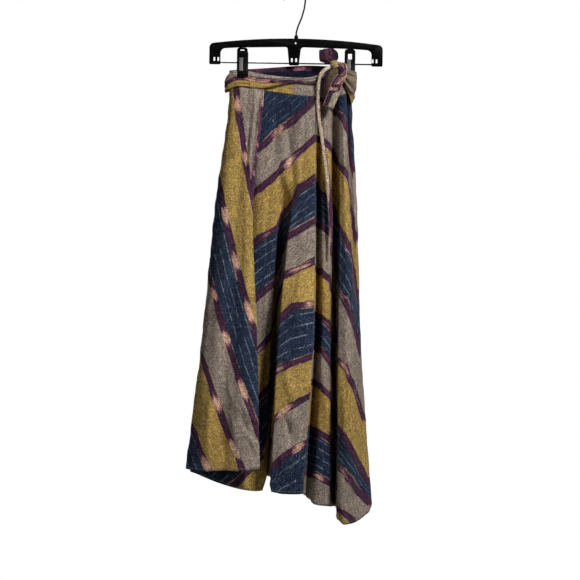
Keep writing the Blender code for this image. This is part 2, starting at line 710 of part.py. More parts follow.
def make_hook(steel):
    """The wire: up out of the boss, out to the right and over the rail."""
    boss_top = HANGER_TOP_DROP - BOSS_HEIGHT
    foot = [(HANGER_CENTRE_X, HANGER_TOP_DROP - WIRE_FOOT_RISE), (HANGER_CENTRE_X, boss_top - 5)]
    bend = []
    for degrees in range(10, HOOK_TIP_ANGLE + 1, 15):
        turn = math.radians(degrees)
        bend.append((HOOK_RADIUS * math.cos(turn), HOOK_CENTRE_DROP - HOOK_RADIUS * math.sin(turn)))
    route = chain(foot + HOOK_STEM + bend, 1)
    curve = bpy.data.curves.new("hanger_hook", "CURVE")
    curve.dimensions = "3D"
    curve.bevel_depth = WIRE_DIAMETER / 2 * MM
    curve.bevel_resolution = 2
    curve.use_fill_caps = True
    spline = curve.splines.new("POLY")
    spline.points.add(len(route) - 1)
    for point, (x, drop) in zip(spline.points, route):
        point.co = (x * MM, 0, -drop * MM, 1)
    curve.materials.append(steel)
    bpy.context.collection.objects.link(bpy.data.objects.new("hanger_hook", curve))


def strip_outline(line, thickness, side):
    """A middle line made thick, on the front (side -1) or the back (side 1) of the rod."""
    inner = [(side * (point.stand - thickness / 2), point.z) for point in line]
    outer = [(side * (point.stand + thickness / 2), point.z) for point in line]
    return inner + outer[::-1]


def slot_leaf(leaf, x, slot, side, parent, plastic):
    """Cut a see-through slot, given by its top and its bottom, in a leaf."""
    top, bottom = slot
    outline = box_outline(x, (top + bottom) / 2, CLIP_SLOT_WIDTH, top - bottom)
    near, far = sorted((side * ROD_DIAMETER / 2, side * CLIP_REACH))
    cut(leaf, as_cutter(prism(leaf.name + "_cutter", outline, near, far, plastic, parent)))


def make_clip(clip, parent, plastic, steel):
    """Two leaves on the rod, held shut by a steel strip."""
    left, right = clip.x - CLIP_WIDTH / 2, clip.x + CLIP_WIDTH / 2
    back_outline = strip_outline(BACK_LEAF, CLIP_WALL, 1)
    back = side_prism(clip.name + "_back", back_outline, left, right, plastic, parent)
    slot_leaf(back, clip.x, BACK_SLOT, 1, parent, plastic)

    front_line = [Leaf(FRONT_LEAF_TOP_STAND, clip.front_top)] + FRONT_LEAF
    front_outline = strip_outline(front_line, CLIP_WALL, -1)
    shift = clip.front_shift
    front = side_prism(clip.name + "_front", front_outline, left + shift, right + shift, plastic, parent)
    if clip.front_slot:
        slot_leaf(front, clip.x, clip.front_slot, -1, parent, plastic)

    for side, place in (("left", left + CHEEK_INSET), ("right", right - CHEEK_INSET - CHEEK_WALL)):
        make_cheek(f"{clip.name}_cheek_{side}", place, parent, plastic)

    middle = clip.x + SPRING_OFFSET
    spring_outline = strip_outline(SPRING, SPRING_WALL, -1)
    half = SPRING_WIDTH / 2
    side_prism(clip.name + "_spring", spring_outline, middle - half, middle + half, steel, parent)


def make_cheek(name, x_left, parent, plastic):
    """A cheek that carries a clip's leaves on the rod."""
    low, high = -ROD_DROP - CHEEK_HALF_HEIGHT, -ROD_DROP + CHEEK_HALF_HEIGHT
    outline = [(CHEEK_FRONT, low), (CHEEK_BACK, low), (CHEEK_BACK, high), (CHEEK_FRONT, high)]
    cheek = side_prism(name, outline, x_left, x_left + CHEEK_WALL, plastic, parent)
    bore = ROD_DIAMETER + 2 * ROD_CLEARANCE
    past = x_left - CHEEK_WALL, x_left + 2 * CHEEK_WALL
    cut(cheek, as_cutter(cylinder_along_x(name + "_cutter", *past, -ROD_DROP, bore, plastic, parent)))


def make_hanger():
    plastic = material("hanger_plastic", "black_plastic", 0.35)
    steel = material("hanger_steel", "steel", 0.3, 1.0)
    frame = bpy.data.objects.new("hanger_frame", None)
    frame.location = (HANGER_CENTRE_X * MM, 0, -HANGER_TOP_DROP * MM)
    frame.rotation_euler = (0, HANGER_TILT, 0)
    bpy.context.collection.objects.link(frame)
    make_hanger_body(frame, plastic)
    make_boss(frame, plastic)
    cylinder_along_x("hanger_rod", -ROD_HALF_LENGTH, ROD_HALF_LENGTH, -ROD_DROP, ROD_DIAMETER, steel, frame)
    for clip in CLIPS:
        make_clip(clip, frame, plastic, steel)
    make_hook(steel)


def main():
    clear_scene()
    make_gores()
    make_waistbands()
    make_sash()
    make_bow()
    make_hanger()
    for name in SMOOTH_NODES:
        bpy.data.objects[name].data.shade_smooth()


main()
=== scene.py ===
import math
import bmesh
import bpy
import numpy as np
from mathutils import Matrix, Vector


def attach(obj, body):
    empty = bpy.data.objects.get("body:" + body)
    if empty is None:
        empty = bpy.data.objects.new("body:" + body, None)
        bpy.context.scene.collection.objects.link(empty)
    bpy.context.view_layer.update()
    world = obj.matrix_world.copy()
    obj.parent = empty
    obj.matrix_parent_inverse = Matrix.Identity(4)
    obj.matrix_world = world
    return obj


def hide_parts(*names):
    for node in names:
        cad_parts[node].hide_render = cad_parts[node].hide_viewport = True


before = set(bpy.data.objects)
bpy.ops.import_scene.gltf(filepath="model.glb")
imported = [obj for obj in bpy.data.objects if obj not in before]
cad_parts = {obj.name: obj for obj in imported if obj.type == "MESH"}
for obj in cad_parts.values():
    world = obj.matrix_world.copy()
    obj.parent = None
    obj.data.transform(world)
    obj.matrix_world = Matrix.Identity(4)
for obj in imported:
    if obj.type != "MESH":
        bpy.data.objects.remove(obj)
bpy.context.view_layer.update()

mm = 0.001

# Lengths in the tables are millimetres: x from the hook, y in depth, drop down from the hook.
cloth = {
    "wall": 1.0,             # thickness of the gores' shell
    "bandShell": 1.6,        # and of the waistband's
    "bandWall": 1.9,         # what the sash stands clear of, and by how much
    "sashClear": 0.8,
    "seamGap": 0.3,
    "rows": 172,
    "bandRows": 20,
    "stepsPerFold": 12,
    "longWave": (46, 0.7),   # size and height of the small uneven waves
    "shortWave": (17, 0.26),
    "wavesFrom": 40,         # they grow over this much below the band
    "creaseDepth": 3.0,
    "lowCreases": 0.6,       # how much deeper the creases are near the hem
    "lowFrom": 700,
    "lowOver": 250,
    "hemWave": (30, 1.1),
    "hemScallop": (60, 1.2),
    "hemRise": 60,           # how far up from the hem those two reach
    "seamRoom": 8,           # creases die away this near a seam, and this near the band
    "flapEdgeRoom": 3,
    "bandRoom": 12,
    "hemDepth": 13,
    "hemWall": 1.9,
    "hemSoft": 1.5,
    "hemRound": 0.45,        # what is left of the thickness at the hem's edge, and at the sides
    "sideRound": 0.55,
    "rimDrop": 172,
    "waistDrop": 209,
    "hipDrop": 434,
    "kneeDrop": 720,
}

# name                x: waist  hip  knee  hem  y: rim waist  hip knee  hem  drop: top seam   hem
foldTable = [
    ("underlapEdge",      -116, -148, -181, -214, -1.8,   -3,  -8,  -8,  -6,  168, 200,  990),
    ("underlapSide",      -103, -124, -144, -169, -2.2,   -5, -12, -14, -10,  168, 200, 1005),
    ("underlapMid",        -83,  -95, -106, -116, -2.9,   -6,  -8, -10,  -4,  176, 204, 1026),
    ("ridgeALeft",         -65,  -71,  -75,  -81,   -5,   -8, -20,  -4,   2,  182, 209, 1029),
    ("ridgeARight",        -50,  -37,  -50,  -66,   -7,   -9, -22,   2,  10,  184, 211, 1028),
    ("valleyALeft",        -40,  -30,  -43,  -58, -7.5,   -8,  -8,  22,  22,  185, 213, 1002),
    ("valleyARight",       -33,  -20,  -38,  -53,   -8,   -9,  -7,  23,  22,  185, 214, 1002),
    ("ridgeBLeft",         -20,   -4,  -33,  -47,   -9,  -12, -30, -53, -57,  186, 216, 1028),
    ("ridgeBMid",           -1,    8,   -9,  -28, -9.5,  -15, -36, -57, -60,  186, 219, 1033),
    ("ridgeBFront",         21,   25,   15,   -5, -9.5,  -16, -38, -58, -60,  186, 221, 1033),
    ("ridgeBRight",         41,   42,   38,   17,   -9,  -15, -34, -50, -52,  186, 222, 1031),
    ("valleyBLeft",         46,   46,   43,   23,   -8,   -1,  14,  20,  20,  186, 223, 1041),
    ("valleyBRight",        50,   50,   47,   28,   -8,   -1,  13,  18,  16,  186, 223, 1046),
    ("ridgeCLeft",          56,   57,   56,   42,   -8,   -7, -12, -16, -18,  186, 223, 1056),
    ("ridgeCRight",         70,   71,   72,   73,   -8,   -7, -12, -16, -18,  184, 223, 1060),
    ("valleyCLeft",         77,   80,   80,   81,   -7,   -1,  14,  18,  16,  182, 223, 1060),
    ("valleyCRight",        84,   88,   85,   84,   -7,   -1,  14,  18,  15,  182, 223, 1061),
    ("ridgeDLeft",          91,   93,   90,   87, -6.5,  -12, -24, -38, -46,  178, 222, 1085),
    ("ridgeDMid",           99,  103,  106,   99,   -4,  -14, -30, -46, -58,  170, 219, 1096),
    ("ridgeDRight",        105,  111,  119,  119, -2.5,  -10, -22, -36, -48,  167, 217, 1092),
    ("creaseE",            107,  115,  125,  136, -2.2,   -3,  -6, -20, -32,  166, 216, 1083),
    ("ridgeE",             112,  122,  131,  150,   -2,   -5,  -8, -12, -22,  166, 215, 1072),
    ("rightSide",          116,  127,  135,  158,    0,    2,   8,   8,   4,  168, 214, 1057),
    ("back1",              111,  119,  124,  142,    2,    8,  26,  32,  36,  166, 200, 1049),
    ("back2",               99,   99,   97,  109,    3,   11,  36,  46,  56,  164, 197, 1041),
    ("back3",               81,   74,   68,   74,  4.5,    9,  26,  32,  38,  161, 195, 1031),
    ("back4",               60,   48,   38,   38,    6,   13,  38,  50,  60,  159, 194, 1020),
    ("back5",               40,   21,    7,    1,  7.5,   10,  28,  36,  42,  158, 194, 1010),
    ("back6",               17,   -5,  -24,  -36,  8.5,   14,  38,  50,  60,  158, 194,  999),
    ("back7",               -7,  -34,  -56,  -75,    9,   11,  28,  38,  42,  159, 194,  990),
    ("back8",              -32,  -63,  -89, -114,    8,   13,  36,  48,  58,  161, 195,  984),
    ("back9",              -58,  -93, -122, -151,  5.5,   10,  26,  34,  40,  163, 196,  980),
    ("back10",             -87, -122, -153, -183,  2.5,   11,  30,  38,  46,  165, 197,  980),
    ("back11",            -110, -144, -175, -208,  1.3,    8,  20,  26,  30,  166, 198,  982),
    ("leftSide",          -133, -161, -190, -223,    0,    1,   4,   4,   4,  168, 198,  984),
    ("flap1",             -127, -151, -179, -208,   -4,   -9, -20, -24, -26,  168, 198,  985),
    ("flap2",             -112, -132, -155, -179, -5.4,  -11, -32, -38, -44,  168, 198,  986),
    ("flap3",              -97, -116, -132, -148, -5.8,  -12, -30, -34, -38,  170, 200,  987),
    ("flap4",              -79,  -97, -103, -112,   -7,  -14, -36, -46, -54,  175, 202,  986),
    ("flapEdge",           -63,  -84,  -76,  -71, -8.5,  -13, -30, -40, -46,  178, 204,  983),
]
foldNames = [row[0] for row in foldTable]
topColumn, seamColumn, hemColumn = 10, 11, 12

# Valley A opens only below the hip: drop, x and y of points that its folds also pass through.
foldBends = {
    "valleyALeft": [(385, -31, -19), (515, -35, 13)],
    "valleyARight": [(385, -22, -20), (515, -24, 14)],
    "ridgeBLeft": [(515, -13, -43)],
}

# These folds turn sharply into the steep wall before them (-1) or after them (1).
sharpFolds = {"ridgeARight": 1, "ridgeBLeft": -1, "ridgeBRight": 1, "ridgeDLeft": -1}


def foldIndex(name):
    return foldNames.index(name)


# ways of working out smooth lines and sheets
def smooth(part):
    part = np.clip(part, 0, 1)
    return part * part * (3 - 2 * part)


def between(place, start, end, before, soft):
    # 1 from start to end, fading out past both
    return smooth((place - start + before) / soft) * smooth((end + before - place) / soft)


def through(knots, values, at, slopes=None):
    # a cubic curve through the values, read at any place between the knots
    knots = np.asarray(knots, float)
    values = np.asarray(values, float)
    slopes = np.gradient(values, knots, axis=0) if slopes is None else slopes
    index = np.clip(np.searchsorted(knots, at, side="right") - 1, 0, len(knots) - 2)
    width = knots[index + 1] - knots[index]
    t = (at - knots[index]) / width
    shape = (slice(None),) + (None,) * (values.ndim - 1)
    t, width = t[shape], width[shape]
    return (
        (2 * t**3 - 3 * t**2 + 1) * values[index]
        + (t**3 - 2 * t**2 + t) * width * slopes[index]
        + (3 * t**2 - 2 * t**3) * values[index + 1]
        + (t**3 - t**2) * width * slopes[index + 1]
    )


def chain(points, steps, corners=(), straight=0.14):
    # a smooth run through the points; at a corner it keeps to the wall beside it for a short way
    points = np.asarray(points, float)
    spans = np.linalg.norm(np.diff(points[:, :2], axis=0), axis=1) ** 0.5
    knots = np.concatenate([[0], np.cumsum(spans)])
    at = np.interp(np.arange((len(points) - 1) * steps + 1) / steps, np.arange(len(points)), knots)
    slopes = np.gradient(points, knots, axis=0)
    extra = []
    for index, side in corners:
        wall = (points[index + side] - points[index]) / (knots[index + side] - knots[index])
        step = straight * (knots[index + side] - knots[index])
        extra.append((knots[index] + step, points[index] + wall * step, wall))
        slopes[index] = (points[index - side] - points[index]) / (knots[index - side] - knots[index])
    if extra:
        order = np.argsort(np.concatenate([knots, [part[0] for part in extra]]))
        points = np.concatenate([points, [part[1] for part in extra]])[order]
        slopes = np.concatenate([slopes, [part[2] for part in extra]])[order]
        knots = np.concatenate([knots, [part[0] for part in extra]])[order]
    return through(knots, points, at, slopes)


def foldPoints(row, drops):
    name, waist, hip, knee, hem, yRim, yWaist, yHip, yKnee, yHem, _, _, hemDrop = row
    run = [
        (cloth["rimDrop"], waist, yRim), (cloth["waistDrop"], waist, yWaist), (cloth["hipDrop"], hip, yHip),
        (cloth["kneeDrop"], knee, yKnee), (hemDrop, hem, yHem),
    ]
    run = np.array(sorted(run + foldBends.get(name, [])), float)
    return np.column_stack([through(run[:, 0], run[:, 1:], drops), -drops])


def gridNormals(grid):
    normals = np.cross(np.gradient(grid, axis=0), np.gradient(grid, axis=1))
    return normals / np.linalg.norm(normals, axis=2)[:, :, None]


def wholeCloth(startColumn, startShift, endColumn, rows):
    # the cloth all round the skirt, from one of the table's columns of drops to another
    parts = np.linspace(0, 1, rows)
    lines = []
    for row in foldTable:
        start, end = row[startColumn] + startShift, row[endColumn]
        lines.append(foldPoints(row, start + (end - start) * parts))
    lines = np.array(lines)
    corners = [(foldIndex(name), side) for name, side in sharpFolds.items()]
    return np.array([chain(lines[:, number], cloth["stepsPerFold"], corners) for number in range(rows)])


def columnsOf(piece):
    steps = cloth["stepsPerFold"]
    return slice(foldIndex(piece["first"]) * steps, foldIndex(piece["last"]) * steps + 1)


def drawnIn(grid):
    # both side edges come in by half a seam's gap
    grid = grid.copy()
    for edge, inner in ((0, 1), (-1, -2)):
        along = grid[:, inner] - grid[:, edge]
        grid[:, edge] += along / np.linalg.norm(along, axis=1)[:, None] * (cloth["seamGap"] / 2)
    return grid


def arcs(grid, axis):
    steps = np.linalg.norm(np.diff(grid, axis=axis), axis=2)
    start = np.zeros_like(np.take(steps, [0], axis=axis))
    return np.concatenate([start, np.cumsum(steps, axis=axis)], axis=axis)


def softNoise(a, b, size, seed):
    # smooth uneven waves about size millimetres long, from -1 to 1
    dice = np.random.default_rng(seed)
    total = np.zeros_like(a)
    for _ in range(7):
        turn, phase = dice.uniform(0, 2 * math.pi, 2)
        wave = 2 * math.pi / (size * dice.uniform(0.7, 1.6))
        total += np.sin((a * math.cos(turn) + b * math.sin(turn)) * wave + phase)
    return total / 3


def rippled(whole):
    # small uneven waves, the same on both sides of every seam
    along, down = arcs(whole, 1), arcs(whole, 0)
    (longSize, longHigh), (shortSize, shortHigh) = cloth["longWave"], cloth["shortWave"]
    lift = softNoise(along, down * 0.45, longSize, 3) * longHigh
    lift = lift + softNoise(along, down * 0.7, shortSize, 4) * shortHigh
    return whole + gridNormals(whole) * (lift * smooth(down / cloth["wavesFrom"]))[:, :, None]


def creaseLift(across, down, creases):
    # each crease is a soft ridge (or a trough, where high is negative) from one point to another
    lift = np.zeros_like(across)
    for x1, d1, x2, d2, width, high, bow in creases:
        run = np.array([x2 - x1, d2 - d1], float)
        length = np.linalg.norm(run)
        ax, ad = run / length
        t = ((across - x1) * ax + (down - d1) * ad) / length
        inside = np.clip(t, 0, 1)
        off = -(across - x1) * ad + (down - d1) * ax - bow * 4 * inside * (1 - inside)
        past = (t - inside) * length
        taper = np.sin(math.pi * np.clip(0.08 + 0.84 * inside, 0, 1)) ** 0.8
        lift += high * taper * np.exp(-(off**2 + past**2) / width**2)
    return lift


# making the pieces
def addObject(name, mesh, finish, rounded=True):
    if rounded:
        mesh.shade_smooth()
    mesh.materials.append(finish)
    obj = bpy.data.objects.new(name, mesh)
    bpy.context.collection.objects.link(obj)
    return obj


def addPattern(mesh, threads, pattern):
    # what the cloth's material reads: places along and across the yarn, and the stripes at each point
    corners = np.empty(len(mesh.loops), np.int32)
    mesh.loops.foreach_get("vertex_index", corners)
    uv = np.stack([threads[0].ravel(), threads[1].ravel()], -1) * mm
    mesh.uv_layers.new(name="threads").data.foreach_set("uv", uv[corners % len(uv)].ravel())
    for key, values in pattern.items():
        values = np.resize(np.asarray(values, np.float32).ravel(), len(mesh.vertices))
        mesh.attributes.new(key, "FLOAT", "POINT").data.foreach_set("value", values)


def addShell(name, grid, half, finish, threads, pattern, normals=None):
    # a closed shell about a grid of points: half is how far each face stands off it
    rows, columns = grid.shape[:2]
    count = rows * columns
    side = (gridNormals(grid) if normals is None else normals) * np.asarray(half)[..., None]
    points = np.concatenate([(grid + side).reshape(-1, 3), (grid - side).reshape(-1, 3)]) * mm
    index = np.arange(count).reshape(rows, columns)
    a, b, c, d = index[:-1, :-1], index[:-1, 1:], index[1:, 1:], index[1:, :-1]
    front = np.stack([a, d, c, b], -1).reshape(-1, 4)
    back = np.stack([a, b, c, d], -1).reshape(-1, 4) + count
    rim = np.concatenate([index[0, :-1], index[:-1, -1], index[-1, :0:-1], index[:0:-1, 0]])
    after = np.roll(rim, -1)
    edge = np.stack([rim, after, after + count, rim + count], -1)
    mesh = bpy.data.meshes.new(name)
    mesh.from_pydata(points.tolist(), [], np.concatenate([front, back, edge]).tolist())
    addPattern(mesh, threads, pattern)
    return addObject(name, mesh, finish)


def spacing(band, grid):
    # how far apart the pattern's lines are, in metres
    down = np.gradient(arcs(grid, 0), axis=0)
    across = np.gradient(arcs(grid, 1), axis=1)
    slope = np.hypot(np.gradient(band, axis=0) / down, np.gradient(band, axis=1) / across)
    return mm / np.clip(slope, 1 / 2000, 1 / 8)


def oneLine(grid, count, patch, trim=0.0, end=0.02):
    # the pattern of a piece with one line across it, where count is 1; the counting stops at end and 2 - end
    band = np.clip(count, end, 2 - end)
    return {"band": band, "pitch": spacing(count, grid), "ikat": patch, "trim": trim + patch * 0}


def clothBody(piece, solid):
    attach(piece, "root")
    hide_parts(solid)


# dyes as the eye sees them, in sRGB; three of them, for the lower bow loop and the sash's side, hold painted
# shade
dyes = {
    "gold": (172, 142, 80),
    "grey": (148, 134, 122),
    "blue": (32, 44, 67),
    "navy": (24, 27, 44),
    "purple": (84, 50, 74),
    "plum": (48, 32, 48),
    "wine": (58, 36, 48),
    "peach": (208, 168, 138),
    "pink": (164, 108, 124),
    "mauve": (112, 72, 92),
    "pale": (150, 162, 172),
    "bone": (206, 186, 162),
    "chalk": (246, 242, 236),
    "stone": (168, 158, 138),
    # the lower bow loop's khaki, darkened with painted shade
    "khakiInPaintedShade": (86, 74, 56),
    # the sash side's grey, darkened with painted shade
    "taupeInPaintedShade": (124, 109, 94),
    # painted shade of the folds on the lower bow loop's left
    "paintedFoldShade": (50, 38, 36),
    "knotGold": (180, 152, 106),
}


def linear(name):
    # what the shader mixes
    made = []
    for level in dyes[name]:
        part = level / 255
        made.append(part / 12.92 if part < 0.04045 else ((part + 0.055) / 1.055) ** 2.4)
    return (*made, 1)


# shader building
def setInputs(tree, target, values):
    for key, value in values.items():
        if isinstance(value, bpy.types.NodeSocket):
            tree.links.new(value, target.inputs[key])
        else:
            target.inputs[key].default_value = value


def node(tree, kind, inputs=None, **settings):
    made = tree.nodes.new("ShaderNode" + kind)
    for key, value in settings.items():
        setattr(made, key, value)
    setInputs(tree, made, inputs or {})
    return made


def maths(tree, operation, *values):
    return node(tree, "Math", dict(enumerate(values)), operation=operation).outputs[0]


def vectorMaths(tree, operation, inputs):
    return node(tree, "VectorMath", inputs, operation=operation).outputs[0]


def mixed(tree, part, first, second):
    return node(tree, "Mix", {0: part, 6: first, 7: second}, data_type="RGBA").outputs[2]


def ranged(tree, value, low, high, toLow=0.0, toHigh=1.0):
    inputs = {0: value, 1: low, 2: high, 3: toLow, 4: toHigh}
    return node(tree, "MapRange", inputs, interpolation_type="SMOOTHSTEP").outputs[0]


def stretched(tree, vector, scale):
    return node(tree, "Mapping", {"Vector": vector, "Scale": scale}).outputs[0]


def noise(tree, vector, stretch=None, scale=1.0, detail=2.0):
    vector = stretched(tree, vector, stretch) if stretch else vector
    return node(tree, "TexNoise", {"Vector": vector, "Scale": scale, "Detail": detail}).outputs["Fac"]


def bumped(tree, height, strength, distance):
    return node(tree, "Bump", {"Strength": strength, "Distance": distance, "Height": height}).outputs[0]


def newGroup(name, inputs, outputs):
    tree = bpy.data.node_groups.new(name, "ShaderNodeTree")
    for key, kind, value in inputs:
        made = tree.interface.new_socket(key, in_out="INPUT", socket_type="NodeSocket" + kind)
        if value is not None:
            made.default_value = value
    for key, kind in outputs:
        tree.interface.new_socket(key, in_out="OUTPUT", socket_type="NodeSocket" + kind)
    return tree, tree.nodes.new("NodeGroupInput").outputs, tree.nodes.new("NodeGroupOutput")


def newMaterial(name):
    material = bpy.data.materials.new(name)
    material.use_nodes = True
    return material, material.node_tree, material.node_tree.nodes["Principled BSDF"]


def arrange(tree):
    # every node stands a column to the left of all that it feeds
    columns = {made.name: 0 for made in tree.nodes}
    moved = True
    while moved:
        moved = False
        for link in tree.links:
            if columns[link.from_node.name] <= columns[link.to_node.name]:
                columns[link.from_node.name] = columns[link.to_node.name] + 1
                moved = True
    filled = [0] * (max(columns.values()) + 1)
    for made in tree.nodes:
        column = columns[made.name]
        made.location = (-220 * column, -240 * filled[column])
        filled[column] += 1


weaveLook = {
    "yarn": 0.0012,          # metres
    "unevenness": 1.0,
    "contrast": 3.6,         # how much lighter and darker the crossings are
    "fresh": -1.92,          # the cloth's tone where it has kept its dye, and where it has faded
    "faded": -1.50,
    "relief": 0.7,
    "reliefDepth": 0.0006,
    "crumple": 4.5,          # small creases against the height of the weave
    "roughness": 0.9,
    "sheen": 0.04,
    "specular": 0.10,
}


def makeWeaveGroup():
    # plain weave of uneven hand-spun yarn: its relief, and how light each crossing is
    tree, given, made = newGroup(
        "plainWeave",
        [("Threads", "Vector", None), ("Yarn", "Float", 0.0012), ("Unevenness", "Float", 1.0)],
        [("Height", "Float"), ("Tone", "Float")],
    )
    yarns = node(tree, "CombineXYZ", {0: given["Yarn"], 1: given["Yarn"], 2: given["Yarn"]}).outputs[0]
    counted = vectorMaths(tree, "DIVIDE", {0: given["Threads"], 1: yarns})
    bent = vectorMaths(tree, "ADD", {0: counted, 1: noise(tree, counted, (0.12, 0.12, 1))})
    parts = node(tree, "SeparateXYZ", {0: bent}).outputs
    along = maths(tree, "SINE", maths(tree, "MULTIPLY", parts[0], math.pi))
    across = maths(tree, "SINE", maths(tree, "MULTIPLY", parts[1], math.pi))
    cells = vectorMaths(tree, "FLOOR", {0: bent})
    coarse = vectorMaths(tree, "FLOOR", {0: stretched(tree, bent, (0.45, 0.75, 1))})
    dots = node(tree, "TexWhiteNoise", {"Vector": cells}).outputs[0]
    clumps = node(tree, "TexWhiteNoise", {"Vector": coarse}).outputs[0]
    tone = maths(tree, "MULTIPLY", dots, 0.40)
    tone = maths(tree, "MULTIPLY_ADD", clumps, 0.30, tone)
    tone = maths(tree, "MULTIPLY_ADD", noise(tree, counted, (0.035, 0.9, 1), 1.0, 3.0), 0.6, tone)
    tone = maths(tree, "MULTIPLY_ADD", noise(tree, counted, (0.9, 0.035, 1), 1.0, 3.0), 0.5, tone)
    tone = maths(tree, "SUBTRACT", tone, 0.9)
    tone = maths(tree, "MULTIPLY_ADD", tone, given["Unevenness"], 0.5)
    setInputs(tree, made, {
        "Height": ranged(tree, maths(tree, "MULTIPLY", along, across), -1.0, 1.0),
        "Tone": maths(tree, "MAXIMUM", tone, 0.0),
    })
    arrange(tree)
    return tree


ikatLook = {
    "streaks": (22, 760, 1),     # how often the dye's ragged ends change along the yarn and across it
    "clouds": (70, 70, 1),
    "streakWander": 0.009,       # how far the lines' edges stray, in metres
    "cloudWander": 0.004,
    "edgeBlur": 0.0008,
    "patchRagged": 2.6,
    "rimPlaces": (16, 40, 1),
    "rimStrength": 0.6,
    "pinGap": 0.0085,
    "pinStrength": 0.56,
    "crossGap": 0.0065,
    "crossStrength": 0.12,
    "heather": 0.22,
    "topPins": 0.45,             # how much of the pinstripes is left above the first line
}


def makeIkatGroup():
    # stripes parted by dark lines; tied patches on the lines stay pale, with ragged ends along the yarn
    numbers = {"Band": 0.0, "Pitch": 0.06, "Ikat": 0.0, "Trim": 0.0, "Line Width": 0.012, "Pinstripes": 0.0}
    colours = (
        "Ground", "Line Colour", "Line Shade", "Patch Colour", "Patch Shade", "Pin Colour", "Trim Colour",
    )
    inputs = [("Threads", "Vector", None)] + [(key, "Float", value) for key, value in numbers.items()]
    inputs += [(key, "Color", None) for key in colours]
    tree, given, made = newGroup("ikatStripes", inputs, [("Color", "Color")])
    threads, look = given["Threads"], ikatLook
    streaks = noise(tree, threads, look["streaks"])
    clouds = noise(tree, threads, look["clouds"], 1.0, 3.0)

    # how far a point is from the nearest line's middle, in metres
    away = maths(tree, "SUBTRACT", given["Band"], maths(tree, "ROUND", given["Band"]))
    distance = maths(tree, "MULTIPLY", maths(tree, "ABSOLUTE", away), given["Pitch"])
    wander = maths(tree, "MULTIPLY_ADD", streaks, look["streakWander"], -look["streakWander"] / 2)
    wander = maths(tree, "SUBTRACT", wander, look["cloudWander"] / 2)
    wander = maths(tree, "MULTIPLY_ADD", clouds, look["cloudWander"], wander)
    distance = maths(tree, "ADD", distance, wander)

    # the dark line, mottled, and the patches tied off on it
    half = maths(tree, "MULTIPLY", given["Line Width"], 0.5)
    inner = maths(tree, "SUBTRACT", half, look["edgeBlur"])
    line = ranged(tree, distance, inner, half, 1.0, 0.0)
    core = ranged(tree, distance, 0.0, half, 0.0, 1.0)
    fill = mixed(tree, maths(tree, "MULTIPLY", core, clouds), given["Line Colour"], given["Line Shade"])
    fill = mixed(tree, ranged(tree, streaks, 0.42, 0.62, 0.0, 0.75), fill, given["Line Shade"])
    tied = maths(tree, "SUBTRACT", given["Ikat"], 1.2)
    tied = maths(tree, "MULTIPLY_ADD", streaks, look["patchRagged"], tied)
    tied = maths(tree, "MULTIPLY_ADD", core, -0.35, tied)
    patchCore = ranged(tree, maths(tree, "MULTIPLY_ADD", clouds, 0.5, tied), 0.78, 1.1)
    patchTone = mixed(tree, patchCore, given["Patch Shade"], given["Patch Colour"])
    fill = mixed(tree, ranged(tree, tied, 0.5, 0.6), fill, patchTone)

    # here and there a thin pale rim along the line
    rim = maths(tree, "ABSOLUTE", maths(tree, "SUBTRACT", distance, inner))
    rim = ranged(tree, rim, 0.0004, 0.0014, look["rimStrength"], 0.0)
    rim = maths(tree, "MULTIPLY", rim, ranged(tree, noise(tree, threads, look["rimPlaces"]), 0.50, 0.58))

    # the blue ground's broken pinstripes, fainter cross lines and pale flecks
    run = node(tree, "SeparateXYZ", {0: threads}).outputs
    bowed = maths(tree, "MULTIPLY_ADD", noise(tree, threads, (14, 30, 1), 1.0, 1.0), 0.006, run[1])
    pin = ranged(tree, maths(tree, "PINGPONG", bowed, look["pinGap"]), 0.0007, 0.0015, 1.0, 0.0)
    dotted = ranged(tree, noise(tree, threads, (90, 60, 1), 1.0, 3.0), 0.34, 0.60)
    pin = maths(tree, "MULTIPLY", pin, maths(tree, "MULTIPLY", dotted, look["pinStrength"]))
    across = maths(tree, "PINGPONG", run[0], look["crossGap"])
    crossLine = ranged(tree, across, 0.0003, 0.0011, look["crossStrength"], 0.0)
    heather = ranged(tree, noise(tree, threads, (300, 800, 1)), 0.50, 0.72, 0.0, look["heather"])
    pale = maths(tree, "MAXIMUM", maths(tree, "MULTIPLY", crossLine, dotted), heather)
    pale = maths(tree, "MAXIMUM", pale, pin)
    kept = ranged(tree, given["Band"], 0.6, 1.4, look["topPins"], 1.0)
    kept = maths(tree, "MULTIPLY", given["Pinstripes"], kept)
    ground = mixed(tree, maths(tree, "MULTIPLY", pale, kept), given["Ground"], given["Pin Colour"])

    # all together, with the trim along a free edge: pale where it is above 1.5
    both = mixed(tree, line, ground, fill)
    both = mixed(tree, rim, both, given["Patch Colour"])
    trimFill = mixed(tree, ranged(tree, clouds, 0.58, 0.66), given["Trim Colour"], given["Patch Shade"])
    trimFill = mixed(tree, ranged(tree, given["Trim"], 1.2, 1.8), trimFill, given["Patch Colour"])
    trimmed = mixed(tree, maths(tree, "MINIMUM", given["Trim"], 1.0), both, trimFill)
    setInputs(tree, made, {"Color": trimmed})
    arrange(tree)
    return tree


weaveGroup = makeWeaveGroup()
ikatGroup = makeIkatGroup()


def groundRamp(tree, band, grounds, places=16):
    # the dye of the stripe that a point is in, and whether that stripe has pinstripes
    step = maths(tree, "MULTIPLY_ADD", maths(tree, "FLOOR", band), 1 / places, 0.5 / places)
    ramp = node(tree, "ValToRGB", {0: step})
    ramp.color_ramp.interpolation = "CONSTANT"
    stops = ramp.color_ramp.elements
    for place, dye in enumerate(grounds):
        stop = stops[place] if place < 2 else stops.new(place / places)
        stop.position = place / places
        stop.color = (*linear(dye)[:3], 1.0 if dye == "blue" else 0.0)
    return ramp.outputs


